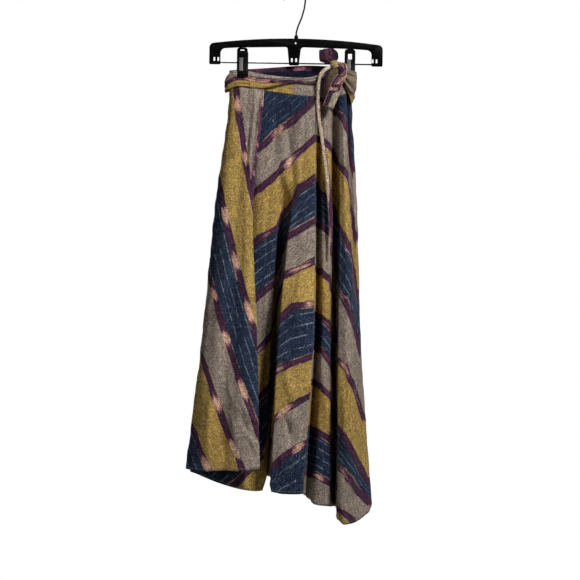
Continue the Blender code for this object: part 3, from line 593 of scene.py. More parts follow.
def clothFinish(name, grounds, lineWidth=0.0152, patchDyes=("peach", "pink"), trimDye="purple"):
    material, tree, shader = newMaterial(name)
    look = weaveLook
    threads = node(tree, "UVMap", uv_map="threads").outputs[0]
    band, pitch, ikat, trim = [
        node(tree, "Attribute", attribute_name=key).outputs["Fac"]
        for key in ("band", "pitch", "ikat", "trim")
    ]
    ground, pinned = groundRamp(tree, band, grounds)
    pattern = node(tree, "Group", {
        "Threads": threads, "Band": band, "Pitch": pitch, "Ikat": ikat, "Trim": trim, "Line Width": lineWidth,
        "Ground": ground, "Pinstripes": pinned, "Line Colour": linear("purple"), "Line Shade": linear("plum"),
        "Patch Colour": linear(patchDyes[0]), "Patch Shade": linear(patchDyes[1]),
        "Pin Colour": linear("pale"), "Trim Colour": linear(trimDye),
    }, node_tree=ikatGroup).outputs[0]
    weave = node(tree, "Group", {
        "Threads": threads, "Yarn": look["yarn"], "Unevenness": look["unevenness"],
    }, node_tree=weaveGroup).outputs
    place = node(tree, "TexCoord").outputs["Object"]
    faded = ranged(tree, noise(tree, place, None, 9.0, 4.0), 0.35, 0.75, look["fresh"], look["faded"])
    lighter = maths(tree, "POWER", 2.0, maths(tree, "MULTIPLY_ADD", weave["Tone"], look["contrast"], faded))
    large = noise(tree, place, (1, 1, 0.5), 55.0, 3.0)
    small = noise(tree, place, (1, 1, 0.7), 170.0)
    crumple = maths(tree, "MULTIPLY_ADD", small, 0.4, large)
    relief = maths(tree, "MULTIPLY_ADD", crumple, look["crumple"], weave["Height"])
    rough = look["roughness"]
    setInputs(tree, shader, {
        "Base Color": vectorMaths(tree, "SCALE", {0: pattern, "Scale": lighter}),
        "Roughness": ranged(tree, weave["Tone"], 0.2, 0.9, rough + 0.08, rough - 0.06),
        "Normal": bumped(tree, relief, look["relief"], look["reliefDepth"]),
        "Sheen Weight": look["sheen"], "Sheen Roughness": 0.5, "Specular IOR Level": look["specular"],
    })
    arrange(tree)
    return material


# Each gore's stripes: the dye above every line, and the drop of that line where it crosses these folds.
# Patches are left pale by the tie-dye: which line, from where to where, and how strongly.
# The front, side and back patches are placed by x, and the flap's by drop.
# A crease: x, drop, x, drop, width, height and bow.
frontGore = {
    "node": "front_gore", "hangsFrom": "waistband_front", "first": "underlapEdge", "last": "ridgeBRight",
    "at": ("underlapEdge", "ridgeALeft", "ridgeARight", "ridgeBLeft", "ridgeBMid", "ridgeBRight"),
    "lines": [
        ("blue", 364, 324, 302, 282, 268, 229),
        ("grey", 464, 411, 384, 354, 341, 307),
        ("gold", 581, 513, 493, 440, 413, 388),
        ("blue", 720, 628, 605, 507, 497, 476),
        ("grey", 843, 742, 714, 587, 577, 558),
        ("gold", 965, 843, 822, 673, 650, 646),
        ("blue", 1090, 969, 945, 783, 769, 752),
        ("gold", 1221, 1088, 1057, 881, 859, 832),
        ("grey", 1344, 1200, 1170, 978, 957, 928),
        ("blue", 1500, 1370, 1340, 1160, 1135, 1110),
    ],
    "patches": [
        (1, -43, -21, 1.0), (2, -24, 3, 0.9), (3, -66, -44, 0.55), (4, -100, -84, 0.9), (5, -10, 36, 0.6),
        (6, 21, 40, 0.9), (6, -30, -22, 0.5), (7, -36, -22, 0.9), (7, -66, -52, 1.0), (8, -36, -5, 1.0),
        (9, -4, 20, 1.0), (5, -78, -66, 0.6),
    ],
    "creases": [
        (-18, 246, -22, 330, 5, 0.7, 2), (0, 238, -6, 300, 4, -0.7, -1), (12, 236, 14, 320, 6, 0.6, 2),
        (-34, 250, -40, 330, 4, -0.8, 1), (28, 250, 26, 350, 5, 0.5, 1), (-8, 330, -18, 420, 6, 0.9, 3),
        (20, 300, 12, 400, 7, -0.8, -2), (4, 430, -6, 520, 7, 0.8, 2), (30, 420, 24, 540, 6, -0.8, 2),
        (14, 560, 2, 640, 7, 0.9, -3), (34, 585, 12, 640, 5, -0.9, 3), (-12, 640, -4, 730, 7, -0.7, 3),
        (26, 690, 8, 760, 6, 0.9, -4), (-18, 770, -2, 850, 7, 1.0, 4), (22, 790, 6, 880, 6, -0.9, 4),
        (16, 862, -8, 905, 5, 1.2, 4), (-24, 872, -8, 930, 6, -1.1, -3), (12, 905, -6, 950, 5, -1.0, 3),
        (-30, 930, -14, 1000, 7, 0.9, 4), (8, 960, -12, 1015, 6, 0.9, -4), (-52, 420, -56, 560, 5, -0.8, 2),
        (-58, 560, -64, 720, 5, 0.9, -2), (-62, 760, -66, 900, 6, -0.9, 2),
        (-68, 900, -64, 1010, 5, 0.8, 2), (-96, 960, -110, 1020, 7, 1.2, 4),
        (-128, 955, -150, 1005, 8, -1.2, 4),
    ],
}
sideGore = {
    "node": "side_gore", "hangsFrom": "waistband_front", "first": "ridgeBRight", "last": "rightSide",
    "at": (
        "ridgeBRight", "ridgeCLeft", "ridgeCRight", "ridgeDLeft", "ridgeDMid", "ridgeDRight", "creaseE",
        "ridgeE", "rightSide",
    ),
    "lines": [
        ("blue", 223, 225, 237, 262, 270, 290, 330, 366, 372),
        ("grey", 307, 311, 325, 366, 376, 388, 464, 505, 515),
        ("gold", 395, 423, 436, 495, 515, 536, 587, 622, 630),
        ("blue", 481, 487, 499, 624, 648, 683, 710, 740, 750),
        ("grey", 573, 581, 599, 761, 781, 814, 842, 873, 883),
        ("gold", 667, 675, 691, 896, 920, 949, 978, 1002, 1014),
        ("blue", 734, 740, 765, 978, 990, 1014, 1033, 1047, 1057),
        ("grey", 804, 814, 834, 1063, 1072, 1088, 1110, 1135, 1145),
        ("gold", 900, 908, 924, 1160, 1180, 1200, 1225, 1250, 1260),
        ("blue", 990, 996, 1014, 1260, 1280, 1310, 1330, 1350, 1360),
        ("grey", 1088, 1092, 1110, 1370, 1390, 1420, 1440, 1460, 1470),
    ],
    "patches": [
        (1, 93, 100, 0.7), (4, 92, 100, 0.9), (5, 93, 108, 0.95), (6, 95, 102, 0.6), (7, 94, 106, 1.0),
        (3, 56, 64, 0.6), (10, 40, 60, 0.95), (5, 122, 130, 0.9), (2, 104, 112, 0.6), (7, 62, 70, 0.7),
        (8, 58, 68, 0.5), (6, 60, 70, 0.5), (3, 118, 126, 0.6),
    ],
    "creases": [
        (62, 240, 60, 360, 4, 0.7, 1), (68, 380, 64, 520, 4, -0.8, 1), (58, 560, 66, 660, 5, 0.8, 2),
        (72, 640, 62, 760, 5, -0.8, -2), (60, 780, 68, 900, 5, 0.9, 2), (70, 880, 56, 1000, 6, -0.9, -3),
        (104, 300, 102, 440, 4, 0.6, 1), (96, 470, 100, 620, 4, -0.7, 1), (112, 560, 108, 700, 5, 0.7, -2),
        (98, 740, 108, 860, 5, -0.9, 2), (114, 820, 100, 930, 6, 0.9, 3), (96, 950, 112, 1040, 6, -1.0, 3),
        (122, 960, 104, 1050, 6, 1.0, -3), (140, 1010, 120, 1060, 6, -1.1, 3),
        (90, 1010, 98, 1080, 5, 0.9, 2), (128, 420, 130, 560, 4, 0.5, 1), (134, 700, 138, 860, 5, -0.6, 1),
    ],
}
backGoreRight = {
    "node": "back_gore_right", "hangsFrom": "waistband_back", "first": "rightSide", "last": "back5",
    "at": ("rightSide", "back2", "back4", "back5"),
    "lines": [
        ("blue", 300, 330, 352, 366),
        ("grey", 400, 438, 462, 478),
        ("gold", 505, 545, 572, 590),
        ("blue", 612, 655, 684, 702),
        ("grey", 720, 765, 796, 815),
        ("gold", 830, 876, 908, 928),
        ("blue", 940, 988, 1020, 1040),
        ("grey", 1060, 1110, 1140, 1160),
    ],
    "patches": [
        (1, 70, 92, 1.0), (2, 24, 46, 0.8), (3, 96, 116, 0.9), (4, 30, 60, 1.0), (5, 74, 96, 0.9),
        (6, 10, 30, 0.9), (7, 60, 84, 1.0), (2, 110, 122, 0.7),
    ],
    "creases": [
        (90, 230, 84, 340, 6, 0.8, 3), (64, 220, 60, 330, 5, -0.8, 2), (44, 240, 40, 360, 6, 0.7, -2),
        (76, 380, 66, 520, 7, -0.9, 3), (40, 420, 30, 560, 7, 0.9, 3), (104, 520, 96, 680, 6, 0.8, 2),
        (56, 620, 40, 760, 8, -1.0, 4), (84, 740, 96, 880, 7, 0.9, 3), (24, 700, 14, 840, 7, 0.8, 2),
        (60, 900, 76, 1000, 7, -1.1, 4), (30, 900, 20, 990, 7, 1.0, 3), (112, 900, 126, 1000, 7, -0.9, 3),
    ],
}
backGoreLeft = {
    "node": "back_gore_left", "hangsFrom": "waistband_back", "first": "back5", "last": "leftSide",
    "at": ("back5", "back7", "back9", "leftSide"),
    "lines": [
        ("blue", 366, 340, 314, 280),
        ("grey", 478, 448, 420, 384),
        ("gold", 590, 558, 526, 488),
        ("blue", 702, 666, 632, 592),
        ("grey", 815, 776, 740, 698),
        ("gold", 928, 886, 848, 804),
        ("blue", 1040, 996, 956, 910),
        ("grey", 1160, 1110, 1066, 1016),
    ],
    "patches": [
        (1, -20, 4, 0.9), (2, -80, -56, 1.0), (3, -34, -10, 0.8), (4, -120, -96, 0.9), (5, -60, -36, 1.0),
        (6, -150, -128, 1.0), (7, -84, -60, 0.9), (3, -130, -112, 0.8), (8, -180, -160, 0.9),
    ],
    "creases": [
        (10, 230, 2, 350, 6, 0.8, 2), (-24, 224, -34, 340, 6, -0.8, -2), (-60, 230, -74, 350, 6, 0.8, 3),
        (-94, 240, -108, 360, 5, -0.7, 2), (-20, 400, -36, 560, 8, 0.9, 4),
        (-70, 420, -84, 580, 7, -0.9, -3), (-110, 440, -124, 600, 7, 0.8, 3),
        (-46, 640, -62, 800, 8, -1.0, 4), (-100, 660, -120, 820, 8, 0.9, 3),
        (-150, 640, -160, 800, 7, -0.8, 2), (-30, 840, -44, 960, 7, 1.0, 3),
        (-86, 860, -104, 960, 7, -1.1, 4), (-140, 850, -162, 950, 8, 1.0, 4),
        (-184, 860, -196, 950, 7, -0.8, 2),
    ],
}
flapPanel = {
    "node": "flap_panel", "hangsFrom": "waistband_flap", "first": "leftSide", "last": "flapEdge",
    # the flap's lines slant: x moves left as they drop, by this much a millimetre, and faster lower down
    "slant": 0.10, "curl": 0.0001956, "from": 192.2,
    "lines": [
        ("gold", -2), ("blue", -57), ("grey", -121), ("gold", -183), ("blue", -245), ("grey", -308),
        ("gold", -378), ("blue", -445),
    ],
    "patches": [
        (3, 226, 256, 1.0), (3, 333, 362, 0.85), (3, 428, 446, 0.6), (4, 446, 484, 1.0),
        (4, 543, 578, 0.95), (4, 640, 684, 1.0), (5, 612, 640, 0.9), (5, 702, 732, 1.0), (5, 800, 842, 1.0),
        (6, 738, 752, 0.6), (6, 832, 866, 0.9), (6, 922, 962, 1.0), (7, 955, 990, 1.0),
    ],
    "creases": [
        (-71, 222, -81, 300, 2.4, -2.6, 0), (-81, 300, -91, 420, 2.4, -2.4, 0),
        (-67, 218, -77, 300, 1.8, 1.2, 0), (-77, 300, -87, 410, 1.8, 1.2, 0),
        (-80, 240, -90, 330, 2.6, 1.2, 0), (-92, 260, -98, 430, 2.6, -1.3, 2),
        (-66, 212, -72, 268, 4, -0.8, 1), (-80, 208, -84, 262, 4, 0.8, -1),
        (-94, 206, -98, 250, 4, -0.8, 1), (-108, 204, -112, 246, 4, 0.6, 1),
        (-90, 290, -100, 460, 5, 0.7, 2), (-76, 300, -82, 470, 4, -0.7, 1),
        (-104, 460, -110, 640, 5, -0.8, 2), (-92, 520, -94, 690, 5, 0.7, 2),
        (-84, 640, -88, 760, 5, -0.6, 1), (-136, 380, -150, 560, 7, 0.6, 3),
        (-160, 600, -176, 780, 7, -0.7, 3), (-126, 700, -132, 860, 7, 0.8, 4),
        (-112, 780, -90, 850, 6, -1.1, 4), (-134, 800, -110, 872, 6, 1.0, 4),
        (-150, 840, -142, 960, 7, -1.2, 4), (-128, 850, -116, 930, 6, 0.9, 3),
        (-112, 866, -84, 920, 5, -1.2, 3), (-104, 852, -78, 890, 5, 1.1, 3),
        (-96, 900, -76, 948, 5, 0.9, 2), (-170, 830, -176, 960, 7, 0.9, 3),
        (-196, 850, -204, 960, 6, -0.8, 2), (-86, 800, -78, 860, 5, 0.8, 2),
    ],
}

edgeTrim = {
    "width": 7.5,
    "paleWidth": 3.2,        # how wide it is above the next drop, where it is pale
    "paleTo": 250,
    "paleOver": 20,
    "fadeFrom": 400,
    "fadeTo": 470,
    "soft": 1.5,
}
stripes = {
    "yarns": 85,             # how much yarn one stripe takes, and one of the flap's
    "flapYarns": 70,
    "beyond": 4,             # stripes that go on past the first and last line
    "pitch": 85,             # the width of each of those, and of the flap's
    "flapPitch": 65,
    "patchBefore": 12,       # how far a tied patch reaches past its ends, and over how much it fades
    "patchSoft": 26,
    "endRoom": 0.15,         # the counting stops this short of where another line would come
}


def lineBand(gore, grid):
    # counts the stripes downwards: 1 on the first line, 2 on the second
    drops = -grid[:, :, 2]
    lines = gore["lines"]
    beyond = stripes["beyond"]
    counts = np.concatenate([[1 - beyond], np.arange(1, len(lines) + 1), [len(lines) + beyond]])
    if "slant" in gore:
        past = drops - gore["from"]
        across = grid[:, :, 0] - gore["slant"] * past - gore["curl"] * past**2
        crossed = [-row[1] for row in lines]
        far = beyond * stripes["flapPitch"]
        return np.interp(-across, [crossed[0] - far] + crossed + [crossed[-1] + far], counts)
    first = foldIndex(gore["first"])
    at = [foldIndex(name) - first for name in gore["at"]]
    far = beyond * stripes["pitch"]
    band = np.empty(drops.shape)
    for column in range(drops.shape[1]):
        crossed = [np.interp(column / cloth["stepsPerFold"], at, row[1:]) for row in lines]
        crossed = [crossed[0] - far] + crossed + [crossed[-1] + far]
        band[:, column] = np.interp(drops[:, column], crossed, counts)
    return band


def patchesOn(place, patches, before, soft):
    field = np.zeros_like(place)
    for start, end, strength in patches:
        field = np.maximum(field, between(place, start, end, before, soft) * strength)
    return field


def linePatches(gore, grid, band):
    place = -grid[:, :, 2] if "slant" in gore else grid[:, :, 0]
    field = np.zeros_like(band)
    for line, *patch in gore["patches"]:
        near = np.abs(band - line) < 0.5
        along = patchesOn(place, [patch], stripes["patchBefore"], stripes["patchSoft"])
        field = np.maximum(field, along * near)
    return field


def trimField(gore, grid):
    # 1 along the flap's free edge, and 2 where that is pale
    if gore["node"] != "flap_panel":
        return np.zeros(grid.shape[:2])
    across = arcs(grid, 1)
    fromEdge = across[:, -1:] - across
    fade = smooth((edgeTrim["fadeTo"] + grid[:, :, 2]) / (edgeTrim["fadeTo"] - edgeTrim["fadeFrom"]))
    top = 1 + smooth((edgeTrim["paleTo"] + grid[:, :, 2]) / edgeTrim["paleOver"])
    width = edgeTrim["width"] + (edgeTrim["paleWidth"] - edgeTrim["width"]) * (top - 1)
    return smooth((width - fromEdge) / edgeTrim["soft"]) * fade * top


def hemProfile(grid, hemDrops):
    # the turned-up hem is a little thicker, and every edge is rounded
    fromHem = hemDrops + grid[:, :, 2]
    half = np.full(grid.shape[:2], cloth["wall"] / 2)
    half += (cloth["hemWall"] - cloth["wall"]) / 2 * smooth((cloth["hemDepth"] - fromHem) / cloth["hemSoft"])
    half[-1] *= cloth["hemRound"]
    half[:, [0, -1]] *= cloth["sideRound"]
    return half


def goreLift(gore, grid, normals, low):
    # the creases, and looser waves near the hem, all fading out at the seams
    along, down = arcs(grid, 1), arcs(grid, 0)
    drops = -grid[:, :, 2]
    lift = creaseLift(grid[:, :, 0], drops, gore["creases"]) * np.abs(normals[:, :, 1]) ** 1.5
    deeper = 1 + cloth["lowCreases"] * smooth((drops - cloth["lowFrom"]) / cloth["lowOver"])
    lift *= cloth["creaseDepth"] * deeper
    size, high = cloth["hemWave"]
    lift += softNoise(along, down * 0.2, size, len(gore["node"])) * high * low
    room = cloth["seamRoom"]
    lastRoom = cloth["flapEdgeRoom"] if "slant" in gore else room
    sides = smooth(along / room) * smooth((along[:, -1:] - along) / lastRoom)
    lift *= sides * smooth(down / cloth["bandRoom"])
    return lift


def makeGore(gore, whole):
    name = gore["node"]
    normals = gridNormals(whole)[:, columnsOf(gore)]
    grid = drawnIn(whole[:, columnsOf(gore)])
    hemDrops = -grid[-1, :, 2][None, :]
    band = lineBand(gore, grid)
    along, down = arcs(grid, 1), arcs(grid, 0)
    threads = (along, band * stripes["yarns"])
    if "slant" in gore:
        threads = (down, -band * stripes["flapYarns"])
    room = stripes["endRoom"]
    band = np.clip(band, room, len(gore["lines"]) + 1 - room)
    pattern = {
        "band": band, "pitch": spacing(band, grid), "ikat": linePatches(gore, grid, band),
        "trim": trimField(gore, grid),
    }
    low = smooth((cloth["hemRise"] - (hemDrops + grid[:, :, 2])) / cloth["hemRise"])
    shaped = grid + normals * goreLift(gore, grid, normals, low)[:, :, None]
    size, high = cloth["hemScallop"]
    shaped[:, :, 2] += softNoise(along, down * 0, size, len(name) + 1) * high * low
    half = hemProfile(shaped, hemDrops)
    finish = clothFinish(name + "Cotton", [row[0] for row in gore["lines"]] + ["grey"])
    piece = addShell(name + "_cloth", shaped, half, finish, threads, pattern, normals)
    gatherStitches(shaped, hemDrops, half)
    clothBody(piece, name)


hemStitch = {
    "thread": "hemThread",
    "dye": "pale",
    "gap": 3.7,
    "length": 4.6,
    "radius": 0.32,
    "up": 6.5,               # how far above the hem's edge
    "lean": 52,
}
tieStitch = {
    "thread": "tieThread",
    "dye": "peach",
    "gap": 2.6,
    "length": 2.4,
    "radius": 0.32,
}
hemStitches, tieStitches = [], []


def gatherStitches(grid, hemDrops, half):
    # slanting hand stitches along the hem, on the outer face
    normals = gridNormals(grid)
    fromHem = hemDrops + grid[:, :, 2]
    row = int(np.argmin(np.abs(fromHem[:, fromHem.shape[1] // 2] - hemStitch["up"])))
    path = grid[row] + normals[row] * (half[row][:, None] + hemStitch["radius"] * 0.4)
    length = np.concatenate([[0], np.cumsum(np.linalg.norm(np.diff(path, axis=0), axis=1))])
    lean = math.radians(hemStitch["lean"])
    for at in np.arange(hemStitch["gap"], length[-1] - 1, hemStitch["gap"]):
        here = np.array([np.interp(at, length, path[:, axis]) for axis in range(3)])
        later = np.array([np.interp(at + 0.5, length, path[:, axis]) for axis in range(3)])
        out = np.array([np.interp(at, length, normals[row][:, axis]) for axis in range(3)])
        along = (later - here) / np.linalg.norm(later - here)
        up = np.cross(out, along)
        up = up if up[2] > 0 else -up
        hemStitches.append((here, along * math.cos(lean) + up * math.sin(lean), out))


def addStitches(name, places, facts, sides=6):
    # every stitch is a small roll of thread with pointed ends
    points, faces = [], []
    dice = np.random.default_rng(11)
    radius = facts["radius"]
    for here, along, out in places:
        start = len(points)
        span = facts["length"] * dice.uniform(0.8, 1.15) / 2
        beside = np.cross(along, out)
        points.append(here - along * span - out * radius)
        for part in (-0.55, 0.55):
            for turn in range(sides):
                angle = 2 * math.pi * turn / sides
                across = (beside * math.cos(angle) + out * math.sin(angle)) * radius
                points.append(here + along * span * part + across)
        points.append(here + along * span - out * radius)
        for turn in range(sides):
            after = (turn + 1) % sides
            first, second = start + 1, start + 1 + sides
            faces.append((start, first + after, first + turn))
            faces.append((first + turn, first + after, second + after, second + turn))
            faces.append((start + 1 + 2 * sides, second + turn, second + after))
    mesh = bpy.data.meshes.new(name)
    mesh.from_pydata((np.array(points) * mm).tolist(), [], faces)
    piece = addObject(name, mesh, threadFinish(facts["thread"], facts["dye"]))
    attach(piece, "root")


# The waistband's pieces, from the tops of the folds to the gores' seam. The two dyes change at one x, or at
# one part of the way down.
waistbands = [
    {"node": "waistband_front", "first": "underlapEdge", "last": "back1", "dyes": ["gold", "grey"],
     "changeX": -3, "lineWidth": 0.0006, "patches": []},
    {"node": "waistband_back", "first": "back1", "last": "back11", "dyes": ["wine", "navy"],
     "changePart": 0.12, "lineWidth": 0.012, "patches": [(-6, 22, 1.0), (-84, -66, 0.5), (-116, -100, 0.5)]},
    {"node": "waistband_flap", "first": "back11", "last": "flapEdge", "dyes": ["grey", "gold"],
     "changePart": 0.5, "lineWidth": 0.004, "patches": []},
]
bandLook = {
    "stripe": 60,            # a stripe's width where it changes at one x
    "stripes": 0.9,          # and elsewhere, how many the band's height spans
    "patchBefore": 8,
    "patchSoft": 16,
    "longWave": (26, 0.35),
    "shortWave": (9, 0.15),
    "edgeRoom": 4,           # the waves die away this near the edges
    "patchDyes": ("pink", "mauve"),
}


def makeWaistband(band, whole):
    look = bandLook
    grid = drawnIn(whole[:, columnsOf(band)])
    along, down = arcs(grid, 1), arcs(grid, 0)
    if "changeX" in band:
        count = 1 + (grid[:, :, 0] - band["changeX"]) / look["stripe"]
    else:
        count = 1 + (down / down[-1:] - band["changePart"]) * look["stripes"]
    patch = patchesOn(grid[:, :, 0], band["patches"], look["patchBefore"], look["patchSoft"])
    pattern = oneLine(grid, count, patch)
    (longSize, longHigh), (shortSize, shortHigh) = look["longWave"], look["shortWave"]
    lift = softNoise(along, down, longSize, 8) * longHigh
    lift = lift + softNoise(along, down * 0.3, shortSize, 9) * shortHigh
    edge = smooth(np.minimum(down, down[-1:] - down) / look["edgeRoom"])
    shaped = grid + gridNormals(grid) * (lift * edge)[:, :, None]
    half = np.full(grid.shape[:2], cloth["bandShell"] / 2)
    half[[0, -1]] *= 0.5
    half[:, [0, -1]] *= 0.5
    finish = clothFinish(band["node"] + "Cotton", band["dyes"], band["lineWidth"], look["patchDyes"])
    piece = addShell(band["node"] + "_cloth", shaped, half, finish, (along, down), pattern)
    clothBody(piece, band["node"])


# A section of the sash: x, what it lies on, how far out (its y where it is free), top, bottom, roll, how far
# its bottom leans in, and where its dark line runs across it. A crease: x, part across, x, part across, width
# and height. A patch: x to x, and how strongly.
sashPieces = {
    "sash_front": {
        "on": "waistband_front_cloth",
        "sections": [
            (74, "front", 1.5, 166, 180, 1.0, 0, 0.92), (56, "front", 1.0, 174, 190, 2.0, 0, 0.90),
            (40, "front", 0.6, 181, 197, 2.5, 0, 0.90), (16, "front", 0.6, 184, 195, 3.0, 0, 0.88),
            (-8, "front", 1.2, 183, 195, 3.5, 0, 0.84), (-30, "front", 2.0, 181, 199, 3.0, 0, 0.62),
            (-48, "front", 3.6, 179, 203, 3.0, 0, 0.50), (-64, "front", 0.8, 176.5, 205, 2.4, 0, 0.47),
            (-86, "front", 0.6, 172, 204, 1.6, 0, 0.47), (-106, "front", 0.3, 168, 201, 1.0, 0, 0.48),
            (-122, "front", 1.5, 169, 202, 1.8, 0, 0.50), (-137, "free", -5.5, 178, 209, 2.0, 0, 0.52),
            (-141, "free", 1.7, 188, 214, 2.0, 0, 0.54),
        ],
        "dyes": ["grey", "gold"], "lineWidth": 0.0115,
        "patches": [(-104, -50, 0.75), (-128, -120, 0.5), (-40, -24, 0.5), (10, 34, 0.5)],
        "creases": [
            (70, 0.30, 0, 0.36, 1.6, -0.9), (10, 0.72, -60, 0.55, 1.5, -1.1),
            (-20, 0.22, -110, 0.30, 2.0, 0.9), (-40, 0.46, -140, 0.50, 1.8, -1.4),
            (-50, 0.66, -138, 0.74, 2.0, 1.0), (50, 0.6, 10, 0.55, 1.4, 0.7),
            (-84, 0.86, -136, 0.88, 1.6, -0.8), (60, 0.8, 20, 0.78, 1.3, -0.6),
            (-6, 0.9, -52, 0.84, 1.5, 0.8), (-16, 0.66, -138, 0.67, 1.3, -1.5),
            (60, 0.34, -120, 0.32, 1.3, -1.4),
        ],
    },
    "sash_back": {
        "on": "waistband_back_cloth",
        "sections": [
            (-141, "free", 2.8, 188, 214, 2.0, 0, 0.54), (-134, "free", 9.5, 180, 211, 1.5, 0, 0.56),
            (-120, "back", 1.5, 171, 206, 0.6, 0, 0.56), (-106, "back", 0.3, 168, 203, 0.3, 0, 0.50),
            (-84, "back", 0.6, 170, 204, 1.5, 0, 0.48), (-52, "back", 1.2, 173, 206, 2.5, 0, 0.5),
            (-14, "back", 1.3, 177, 209, 3.0, 0, 0.55), (26, "back", 1.0, 180, 212, 3.0, 0, 0.52),
            (62, "back", 1.0, 183, 213, 2.5, 0, 0.5), (92, "back", 1.4, 186, 214, 2.0, 0, 0.5),
            (108, "back", 2.4, 187, 220, 1.0, 0, 0.5), (126, "free", 3.9, 184, 233, 0.8, -7, 0.5),
        ],
        "dyes": ["grey", "gold"], "lineWidth": 0.008,
        "patches": [(-90, -60, 1.0), (-10, 24, 0.9), (70, 92, 1.0)],
        "creases": [
            (-130, 0.3, -60, 0.36, 2.0, -1.0), (-100, 0.7, -20, 0.62, 2.0, 1.0),
            (-40, 0.34, 50, 0.4, 2.2, -1.2), (0, 0.75, 90, 0.7, 2.0, -1.0), (40, 0.2, 118, 0.28, 1.8, 0.9),
            (60, 0.5, 124, 0.52, 1.8, -0.9),
        ],
    },
    # the side's grey is darkened with painted shade
    "sash_side": {
        "on": "waistband_front_cloth",
        "sections": [
            (126, "free", 3.0, 184, 233, 0.8, -7, 0.70), (126.6, "free", -6.5, 174, 237, 0.5, -10, 0.70),
            (125, "free", -13.7, 171, 234, 1.0, -9, 0.72), (119, "free", -16.5, 170, 224, 2.5, -6, 0.84),
            (109, "free", -17.5, 166, 210, 2.5, -2, 0.84), (100, "free", -17.5, 160, 196, 2.0, 0, 0.95),
            (92.6, "free", -17.6, 153, 184, 0.4, 0, 0.95),
        ],
        "dyes": ["taupeInPaintedShade", "gold"], "lineWidth": 0.0035,
        "patches": [],
        "creases": [
            (94, 0.30, 124, 0.20, 1.8, -1.5), (94, 0.46, 124, 0.40, 1.6, 1.2),
            (95, 0.62, 124, 0.60, 1.8, -1.6), (96, 0.80, 125, 0.80, 1.6, 1.2),
            (97, 0.95, 124, 0.94, 1.6, -1.2),
        ],
    },
}
sashLook = {
    "wall": 1.3,
    "bulge": 0.45,           # how far it swells across its width, against the section's roll
    "pleats": 3,
    "pleatHeight": 0.9,
    "depth": 32,             # of the sheet that the creases are drawn on
    "creaseHeight": 1.6,
    "wave": (16, 0.25),
    "stripes": 0.9,          # how many its width spans
    "patchBefore": 4,
    "patchSoft": 8,
    "patchDyes": ("pink", "peach"),
}


def clothFace(x, drop, face):
    # the y of the cloth's front or back at one place
    line = chain(np.array([foldPoints(row, np.array([float(drop)]))[0] for row in foldTable]), 3)
    x1, x2 = line[:-1, 0], line[1:, 0]
    hit = (np.minimum(x1, x2) <= x) & (x <= np.maximum(x1, x2)) & (x1 != x2)
    depths = line[:-1, 1][hit] + (line[1:, 1] - line[:-1, 1])[hit] * (x - x1[hit]) / (x2 - x1)[hit]
    return depths.min() if face == "front" else depths.max()


def sashDepth(section, drop):
    x, face, out = section[:3]
    if face == "free":
        return out
    stand = out + cloth["bandWall"] / 2 + cloth["seamGap"] + cloth["sashClear"]
    return clothFace(x, drop, face) + (stand if face == "back" else -stand)


def makeSash(name, facts, steps=12, across=34):
    look = sashLook
    rows = [(s[0], sashDepth(s, s[3]), sashDepth(s, s[4]), *s[3:]) for s in facts["sections"]]
    path = chain(rows, steps)
    tangent = np.gradient(path[:, :2], axis=0)
    outward = np.column_stack([-tangent[:, 1], tangent[:, 0]])
    outward /= np.linalg.norm(outward, axis=1)[:, None]
    part = np.linspace(0, 1, across + 1)
    x, yTop, yBottom, top, bottom, roll, lean, linePart = [path[:, [column]] for column in range(8)]
    pleats = look["pleatHeight"] * np.abs(np.sin(look["pleats"] * math.pi * part)) ** 0.7
    rise = roll * (look["bulge"] * np.sin(math.pi * part) + pleats)
    run = x + lean * part**2
    depth = look["depth"]
    creases = [(a, b * depth, c, d * depth, wide, high, 0) for a, b, c, d, wide, high in facts["creases"]]
    rise = rise + creaseLift(run, part * depth, creases) * look["creaseHeight"]
    size, high = look["wave"]
    rise = rise + softNoise(run, part * depth, size, len(name)) * high
    grid = np.stack([
        run + outward[:, [0]] * rise,
        yTop + (yBottom - yTop) * part + outward[:, [1]] * rise,
        -(top + (bottom - top) * part),
    ], -1)
    grid = drawnIn(grid.transpose(1, 0, 2))
    along, down = arcs(grid, 1), arcs(grid, 0)
    count = 1 + (part[:, None] - linePart.T) * look["stripes"]
    patch = patchesOn(grid[:, :, 0], facts["patches"], look["patchBefore"], look["patchSoft"])
    pattern = oneLine(grid, count, patch)
    half = np.full(count.shape, look["wall"] / 2)
    half[[0, -1]] *= 0.5
    finish = clothFinish(name + "Cotton", facts["dyes"], facts["lineWidth"], look["patchDyes"])
    piece = addShell(name + "_cloth", grid, half, finish, (along, down), pattern)
    clothBody(piece, name)


